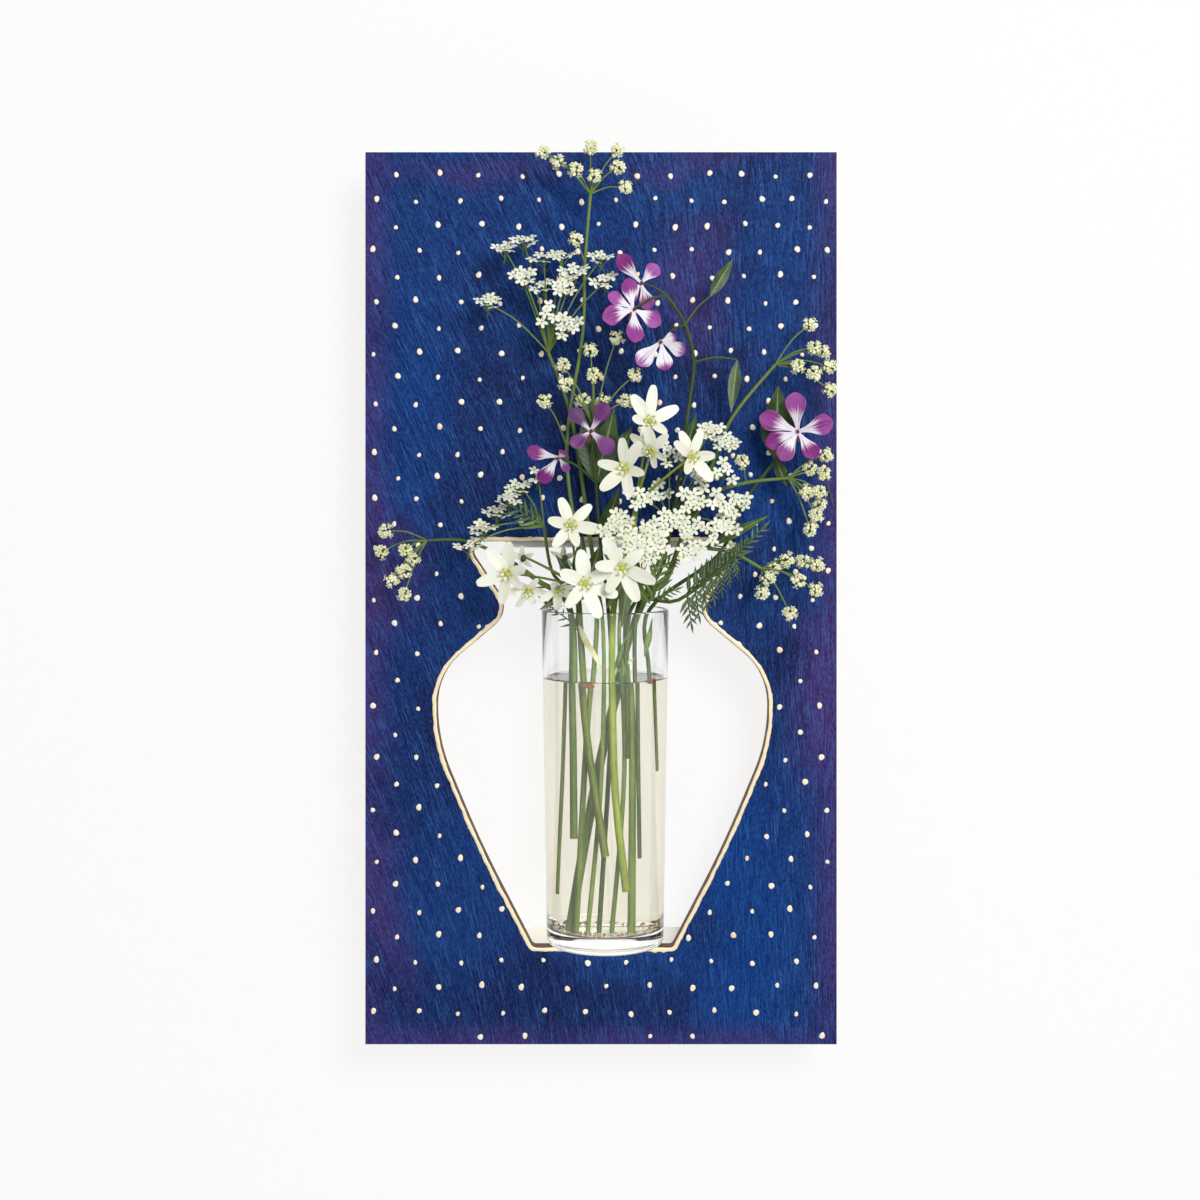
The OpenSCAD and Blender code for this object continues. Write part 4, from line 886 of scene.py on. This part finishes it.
def starCuttingRight():
    node, fork = "star_cutting_right", (0.135, 0.38, 0.235)
    heads = [
        ((0.19, 0.6, 0.41, -6, 10, 0.95), ((6, 1.2), (64, 1.08), (-32, 1.05), (-84, 0.75), (125, 0.7), (-150, 0.7))),
        ((0.2, 0.7, 0.35, 30, -20, 0.85), ((-40, 1), (5, 1), (48, 0.95), (-95, 0.7), (110, 0.7), (170, 0.7))),
        ((0.085, 0.8, 0.31, -4, -14, 1), ((-5, 0.95), (33, 1), (-78, 0.86), (-136, 1.05), (167, 0.95), (105, 0.7))),
        ((0.37, 0.76, 0.335, -4, 20, 0.95),
         ((-24, 0.92), (19, 0.96), (88, 0.78), (-54, 0.82), (-151, 0.7), (144, 1.05))),
        ((0.07, 0.9, 0.105, 12, 4, 1.1), ((-79, 0.86), (-146, 0.86), (155, 1.05), (110, 1.06), (-31, 1), (45, 0.8)))]
    petals, hearts = inTwo(starFlower(*head) for head in heads)
    stems = [stalk([(0.38, 0.92, 0.14), (0.15, 0.85, 0.5), (0.14, 0.78, 1)], [(0.1, 0.4, 0.08), fork],
                   spray["thick"], spray["fork"], 0.1)]
    stems += rays(fork, [h[0] for h in heads], 0.3, 0.02)
    grow(node, "white_flower", ("stems", stems, "brightStem"), ("petals", petals, "starPetal"),
         ("hearts", hearts, "starHeart"))
    knee = (0.1, 0.4, 0.08)
    leaves = [leaf(knee, (0.0, 0.56, 0.01), 0.28), leaf(knee, (0.2, 0.6, 0.02), 0.26),
              leaf(knee, (-0.01, 0.5, 0.13), 0.3), leaf(knee, (0.13, 0.5, 0.19), 0.3),
              leaf((0.11, 0.4, 0.14), (0.24, 0.5, 0.2), 0.3), leaf(knee, (0.07, 0.5, -0.03), 0.26)]
    leaves += [leaf((0.09, 0.2, -0.2), (0.075, 0.24, -0.1), 0.22),
               leaf((0.04, 0.14, -0.13), (0.12, 0.24, -0.03), 0.14),
               leaf((0.17, 0.14, -0.1), (0.21, 0.22, -0.01), 0.14)]
    grow(node, "leaf", ("leaves", leaves, "leaf"), stands=False)


# Each lace cutting's stalk in the glass and up to its hub, its heads, and how far each head tips to the room
laceCuttings = {
    "lace_cutting_tall": {
        "in": [(-0.5, 0.62, 0), (-0.3, 0.6, 0.6), (-0.14, 0.62, 1)], "size": 0.65,
        "up": [(-0.08, 0.14, 0.2), (-0.15, 0.2, 0.42), (-0.25, 0.36, 0.56)],
        "heads": [(-0.245, 0.5, 0.64), (-0.17, 0.46, 0.615), (-0.515, 0.4, 0.665), (-0.44, 0.42, 0.78),
                  (-0.36, 0.32, 0.8), (-0.27, 0.42, 0.76), (-0.36, 0.5, 0.72), (-0.27, 0.34, 0.7),
                  (-0.19, 0.38, 0.765), (-0.13, 0.46, 0.73), (-0.18, 0.5, 0.7), (-0.02, 0.4, 0.76), (0, 0.46, 0.71)],
        "tips": [18, 25, 55, 60, 62, 55, 40, 50, 60, 45, 30, 55, 45], "feathers": []},
    "lace_cutting_left": {
        "in": [(-0.84, 0.54, 0.12), (-0.66, 0.42, 0.55), (-0.6, 0.42, 1)], "size": 0.5,
        "up": [(-0.24, 0.12, 0.09), (-0.27, 0.3, 0.185)],
        "heads": [(-0.6, 0.44, 0.145), (-0.545, 0.4, 0.18), (-0.48, 0.3, 0.215), (-0.42, 0.42, 0.245),
                  (-0.37, 0.3, 0.27), (-0.3, 0.28, 0.295)],
        "tips": [58, 62, 60, 64, 60, 55], "feathers": [((-0.27, 0.3, 0.185), (-0.44, 0.46, 0.24), 0.45)]},
    "lace_cutting_right": {
        "in": [(0.44, 0.52, 0), (0.44, 0.58, 0.6), (0.38, 0.58, 1)], "size": 0.85,
        "up": [(0.22, 0.3, 0.09), (0.28, 0.34, 0.2)],
        "heads": [(0.46, 0.5, 0.39), (0.53, 0.44, 0.365), (0.225, 0.36, 0.26), (0.15, 0.64, 0.245),
                  (0.28, 0.6, 0.34), (0.42, 0.56, 0.29), (0.52, 0.5, 0.3), (0.49, 0.6, 0.235), (0.38, 0.66, 0.24),
                  (0.575, 0.46, 0.235), (0.27, 0.68, 0.2), (0.36, 0.62, 0.185), (0.46, 0.56, 0.175),
                  (0.53, 0.5, 0.19), (0.36, 0.68, 0.14)],
        "tips": [40, 40, 30, 10, 25, 20, 22, 12, 10, 25, 0, 5, 5, 10, -5],
        "feathers": [((0.24, 0.3, 0.1), (0.34, 0.42, 0.12), 0.5), ((0.22, 0.3, 0.09), (0.16, 0.4, 0.2), 0.4)]},
    "lace_cutting_low": {
        "in": [(0.1, 0.5, 0), (0.3, 0.56, 0.5), (0.26, 0.68, 1)], "size": 0.5,
        "up": [(0.2, 0.45, 0.03), (0.155, 0.61, 0.08)],
        "heads": [(0.07, 0.66, 0.2), (0.02, 0.72, 0.175), (0.12, 0.78, 0.165), (0.19, 0.7, 0.18),
                  (0.09, 0.82, 0.14), (0.16, 0.8, 0.135), (0.225, 0.76, 0.15)],
        "tips": [20, 10, 5, 12, 0, 0, 5],
        "feathers": [((0.2, 0.45, 0.03), (0.27, 0.6, 0.15), 0.4), ((0.2, 0.45, 0.03), (0.34, 0.6, 0.06), 0.4)]},
}


def laceCutting(node):
    c = laceCuttings[node]
    florets, fine = laceUmbel(c["up"][-1], c["heads"], c["tips"])
    stems = [stalk(c["in"], c["up"], c["size"])] + fine
    grow(node, "lace_flower", ("stems", stems, "paleRay"), ("florets", florets, "lacePetal"))
    if c["feathers"]:
        grow(node, "leaf", ("leaves", [b for f in c["feathers"] for b in feather(*f)], "leaf"), stands=False)


def budCuttingTall():
    node, low, high, top = "bud_cutting_tall", (-0.17, 0.3, 0.36), (-0.09, 0.36, 0.75), (-0.065, 0.4, 0.9)
    middle = (-0.05, 0.5, 0.4)
    groups = [(top, [(-0.27, 0.4, 0.99), (-0.21, 0.34, 0.97), (-0.13, 0.44, 0.95), (-0.065, 0.36, 1),
                     (-0.045, 0.5, 0.935), (0.055, 0.36, 0.995), (0.055, 0.46, 0.955), (0.09, 0.5, 0.91)]),
              (high, [(-0.13, 0.5, 0.8)]), (low, [(-0.265, 0.46, 0.455)]),
              (middle, [(-0.185, 0.5, 0.53), (-0.065, 0.44, 0.565), (0.05, 0.5, 0.59), (0.13, 0.5, 0.51),
                        (-0.05, 0.6, 0.51), (-0.175, 0.58, 0.49), (-0.1, 0.44, 0.455), (-0.01, 0.44, 0.455),
                        (0.09, 0.48, 0.455)])]
    stems = [stalk([(-0.3, 0.66, 0), (-0.06, 0.64, 0.5), (-0.06, 0.78, 1)],
                   [(-0.12, 0.3, 0.16), low, (-0.1, 0.34, 0.6), high, top], spray["thin"])]
    stems += rays(low, [middle], 0.25)
    budGroups(node, groups, stems)


def budGroups(node, groups, stems):
    balls, fine = inTwo(budUmbel(*group) for group in groups)
    grow(node, "green_bud", ("stems", stems + fine, "paleRay"), ("buds", balls, "budSkin"))


def budCuttingLeft():
    hub = (-0.79, 0.24, 0.155)
    heads = [(-0.97, 0.3, 0.175), (-0.99, 0.24, 0.13), (-0.88, 0.36, 0.135), (-0.85, 0.28, 0.115),
             (-0.885, 0.36, 0.09), (-0.94, 0.3, 0.07), (-0.885, 0.34, 0.04)]
    stems = [stalk([(-0.56, 0.82, 0.3), (-0.55, 0.7, 0.7), (-0.62, 0.62, 1)],
                   [(-0.3, 0.34, 0.07), (-0.45, 0.36, 0.12), (-0.62, 0.28, 0.155), hub],
                   spray["thick"], 0.25, 0.2)]
    budGroups("bud_cutting_left", [(hub, heads)], stems)


def budCuttingRight():
    fork, high, middle, low = (0.34, 0.2, 0.16), (0.75, 0.305, 0.535), (0.805, 0.35, 0.29), (0.69, 0.34, 0.095)
    groups = [(high, [(0.9, 0.3, 0.62), (0.915, 0.36, 0.57), (0.96, 0.28, 0.565), (0.845, 0.4, 0.53),
                      (0.915, 0.42, 0.515), (0.985, 0.36, 0.53), (0.99, 0.3, 0.48)]),
              (middle, [(0.9, 0.36, 0.31), (0.96, 0.4, 0.3), (0.97, 0.3, 0.34), (0.88, 0.44, 0.26),
                        (0.94, 0.46, 0.26), (0.945, 0.36, 0.235), (0.925, 0.42, 0.21), (0.9, 0.38, 0.18)]),
              (low, [(0.75, 0.3, 0.1), (0.8, 0.38, 0.115), (0.87, 0.3, 0.11), (0.93, 0.36, 0.105),
                     (0.845, 0.42, 0.07), (0.925, 0.36, 0.05), (0.685, 0.44, 0.045), (0.71, 0.46, 0.075),
                     (0.81, 0.4, 0)]),
              ((0.62, 0.32, 0.28), [(0.6, 0.46, 0.325)]), ((0.44, 0.28, 0.14), [(0.555, 0.44, 0.135)])]
    stems = [stalk([(-0.6, 0.4, 0), (0.02, 0.4, 0.62), (0.62, 0.44, 1)], [(0.27, 0.14, 0.07), fork], 1,
                   spray["fork"]),
             stalk([], [fork, (0.46, 0.22, 0.3), (0.56, 0.26, 0.42), high], spray["thin"]),
             stalk([], [fork, (0.46, 0.26, 0.25), (0.62, 0.32, 0.28), middle], spray["thin"]),
             stalk([], [fork, (0.44, 0.28, 0.14), (0.56, 0.32, 0.13), low], spray["thin"])]
    budGroups("bud_cutting_right", groups, stems)
    leaves = [leaf((0.44, 0.28, 0.14), (0.72, 0.34, 0.21), 0.14), leaf(fork, (0.4, 0.36, 0.27), 0.2)]
    grow("bud_cutting_right", "leaf", ("leaves", leaves, "leaf"), stands=False)


def violetCutting(node, stems, flowers, leaves):
    skins, backs = {}, []
    for head, angles, skinName in flowers:
        petals, back = violetFlower(head, angles)
        skins[skinName] = skins.get(skinName, []) + petals
        backs += back
    grow(node, "violet_flower", ("stems", stems, "oliveStem"),
         *((name.replace("Petal", "_petals"), shapes, name) for name, shapes in skins.items()),
         ("calyxes", backs, "calyx"))
    grow(node, "leaf", ("leaves", leaves, "darkLeaf"), stands=False)


def violetCuttings():
    low, knee, bow, tip = (0.33, 0.26, 0.3), (0.39, 0.34, 0.54), (0.35, 0.4, 0.62), (0.27, 0.46, 0.68)
    leafUp, leafDown = (0.46, 0.4, 0.68), (0.58, 0.36, 0.545)
    flowers = [
        ((0.155, 0.56, 0.705, -5, 10, 0.95), ((-41, 1.1), (43, 0.75), (-142, 0.7), (166, 0.85)), "violetPetal"),
        ((0.12, 0.78, 0.645, -8, 25, 1.05),
         ((-14, 0.85), (-60, 0.8), (-107, 0.98), (118, 0.85), (-174, 0.95)), "violetPetal"),
        ((0.24, 0.66, 0.58, 20, -6, 0.95), ((-132, 1.0), (171, 0.9), (112, 0.8), (70, 0.5)), "palePetal")]
    stems = [stalk([(0.6, 0.8, 0.24), (0.52, 0.66, 0.7), (0.54, 0.64, 1)],
                   [(0.25, 0.3, 0.1), low, (0.37, 0.3, 0.45), knee, bow, tip], spray["thin"])]
    stems += rays(tip, [flowers[0][0], flowers[1][0]], 0.25) + rays(bow, [flowers[2][0], leafUp], 0.25)
    stems += rays(knee, [leafDown], 0.25)
    leaves = [leaf(leafUp, (0.56, 0.38, 0.76), 0.3), leaf(leafDown, (0.55, 0.38, 0.43), 0.24),
              leaf(low, (0.4, 0.36, 0.43), 0.24)]
    violetCutting("violet_cutting_tall", stems, flowers, leaves)

    fork = (-0.04, 0.36, 0.28)
    flowers = [
        ((-0.065, 0.6, 0.39, -6, 18, 1), ((-41, 0.85), (32, 0.95), (134, 0.9), (-127, 0.75)), "darkPetal"),
        ((-0.205, 0.5, 0.335, 25, -25, 0.85), ((-69, 1.1), (-138, 1.15), (60, 0.6), (150, 0.6)), "violetPetal")]
    stems = [stalk([(-0.1, 0.42, 0), (0.1, 0.56, 0.7), (0.05, 0.62, 1)], [(-0.02, 0.3, 0.14), fork],
                   spray["thin"])]
    stems += rays(fork, [f[0] for f in flowers], 0.25)
    leaves = [leaf(fork, (0.04, 0.46, 0.44), 0.35), leaf(fork, (0.12, 0.4, 0.4), 0.35),
              leaf(fork, (-0.06, 0.3, 0.46), 0.4), leaf((-0.02, 0.3, 0.14), (0.06, 0.36, 0.27), 0.3)]
    violetCutting("violet_cutting_centre", stems, flowers, leaves)

    fork, head = (0.76, 0.16, 0.33), (0.845, 0.4, 0.39, -6, -8, 1.05)
    angles = ((-4, 1.1), (-69, 1.15), (77, 1.05), (-114, 0.95), (-151, 0.95), (146, 0.98))
    stems = [stalk([(0.88, 0.47, 0.5), (0.76, 0.4, 0.8), (0.76, 0.42, 1)],
                   [(0.5, 0.1, 0.12), (0.62, 0.1, 0.24), fork, head[:3]], spray["thin"])]
    # A thin seed pod that bows down from behind the flower
    pod = smoothPath([above(head[:3]), above((0.95, 0.2, 0.33)), above((1.02, 0.05, 0.23))], 5)
    stems.append(tube(pod, 0.7, 0.35, 6))
    violetCutting("violet_cutting_right", stems, [(head, angles, "violetPetal")],
                  [leaf(fork, (0.76, 0.3, 0.49), 0.45), leaf(fork, (0.8, 0.3, 0.27), 0.4)])


# The fern-like leaf: feathery leaflets in pairs at even steps along a rib. They shorten evenly to half at its
# tip, and those on its upper side lean on more, so they are longer
fern = {"leaflets": 7, "reach": 0.3, "rise": 0.3, "low": 0.1, "high": 0.5}


def fernLeaf():
    foot, tip, end = np.array((0.32, 0.5, 0.03)), np.array((0.56, 0.6, 0.12)), (0.72, 0.5, 0.2)
    stems = [stalk([(0.38, 0.92, 0.55), (0.42, 0.74, 1)], [foot, tip], spray["thin"])]
    blades = []
    for i in range(1, fern["leaflets"] + 1):
        s = i / fern["leaflets"]
        at, reach = foot + (tip - foot) * s, fern["reach"] * (1 - s / 2)
        for side in (-1, 1):
            lean = fern["high"] if side > 0 else fern["low"]
            blades += feather(at, at + reach * np.array([lean, 0, side * fern["rise"]]), 0.42, 4, 0.24, 38)
    blades += feather(tip, end, 0.3, 5, 0.2)
    grow("fern_leaf", "leaf", ("rib", stems, "oliveStem"), ("leaflets", blades, "darkLeaf"))


starCuttingLeft()
starCuttingRight()
for cutting in laceCuttings:
    laceCutting(cutting)
budCuttingTall()
budCuttingLeft()
budCuttingRight()
violetCuttings()
fernLeaf()
print("flowers made")


# The studio: a white wall that is seen from the room only, a pale floor far below, soft light from the
# upper right, and a camera level with the panel's upper part. The wall's paint glows to the camera and to
# what reflects or refracts it, and keeps a share of its shading for the panel's shadow
studio = {"wall": "#fdfdfd", "floor": "#f4f4f4", "glow": 0.84, "shaded": 0.15, "wallSize": 3.0, "floorDrop": 0.9,
          "wallGap": 0.0004, "floorSize": 8.0, "world": 0.38}


# One for what the camera sees, straight or by a reflection or through glass, and zero for light on the object
def seenRays(add):
    straight, mirrored, bent = (add("LightPath", out=f"Is {way} Ray") for way in ("Camera", "Glossy", "Transmission"))
    return add("Math.MAXIMUM", straight, add("Math.MAXIMUM", mirrored, bent))


def stagePlane(name, corners, code):
    mesh = bpy.data.meshes.new(name)
    mesh.from_pydata(corners, [], [(0, 1, 2, 3)])
    made = bpy.data.objects.new(name, mesh)
    bpy.context.scene.collection.objects.link(made)
    material, shader, add = newMaterial(name + "_paint", {"Base Color": code, "Roughness": 0.9,
                                                          "Specular IOR Level": 0.1})
    shade = add("BsdfDiffuse", [studio["shaded"]] * 3 + [1])
    both = add("AddShader", shade, add("Emission", code, studio["glow"]))
    paint = add("MixShader", seenRays(add), shader.outputs[0], both)
    oneSided = add("MixShader", add("NewGeometry", out="Backfacing"), paint, add("BsdfTransparent"))
    connect(material.node_tree.nodes["Material Output"], {"Surface": oneSided})
    mesh.materials.append(material)
    return made


# The corners run anticlockwise as seen from the side that shows
w, f, gap, drop = studio["wallSize"] / 2, studio["floorSize"] / 2, studio["wallGap"], studio["floorDrop"]
wall = stagePlane("studio_wall", [(-w, gap, -w), (w, gap, -w), (w, gap, w), (-w, gap, w)], studio["wall"])
wall.visible_shadow = False
stagePlane("studio_floor", [(-f, -f, -drop), (f, -f, -drop), (f, f, -drop), (-f, f, -drop)], studio["floor"])


# A square lamp that looks at a place: its tilt is the angle between the way it lies and the upright
def softBox(name, place, target, size, power):
    data = bpy.data.lights.new(name, "AREA")
    data.shape, data.size, data.energy = "SQUARE", size, power
    lamp = bpy.data.objects.new(name, data)
    lamp.location = place
    away = np.array(place) - target
    tilt = math.acos(away[2] / np.linalg.norm(away))
    lamp.rotation_euler = (tilt, 0, math.atan2(away[1], away[0]) + math.pi / 2)
    bpy.context.scene.collection.objects.link(lamp)


softBox("window_light", (0.52, -1.6, 0.6), (0, 0, -0.05), 0.6, 21.5)
softBox("rear_fill", (-0.6, 1.4, 0.5), (0, 0, -0.05), 1.2, 6)

world = bpy.data.worlds.new("studio_air")
world.use_nodes = True
add = partial(addNode, world.node_tree)
strength = add("MapRange", seenRays(add), 0, 1, studio["world"], 1.0)
connect(world.node_tree.nodes["Background"], {"Color": "#ffffff", "Strength": strength})
bpy.context.scene.world = world

# A level camera 1109 mm from the panel's face. Shifting its picture brings the panel's lower end into view
shot = {"lens": 56.0, "sensor": 36.0, "shift": -0.105, "place": (-0.0006, -1.16, 0.025)}
lens = bpy.data.cameras.new("camera")
lens.lens, lens.sensor_width, lens.shift_y = shot["lens"], shot["sensor"], shot["shift"]
camera = bpy.data.objects.new("camera", lens)
camera.location, camera.rotation_euler = shot["place"], (math.pi / 2, 0, 0)
bpy.context.scene.collection.objects.link(camera)
bpy.context.scene.camera = camera
bpy.context.scene.view_settings.view_transform = "Standard"
print("studio ready")
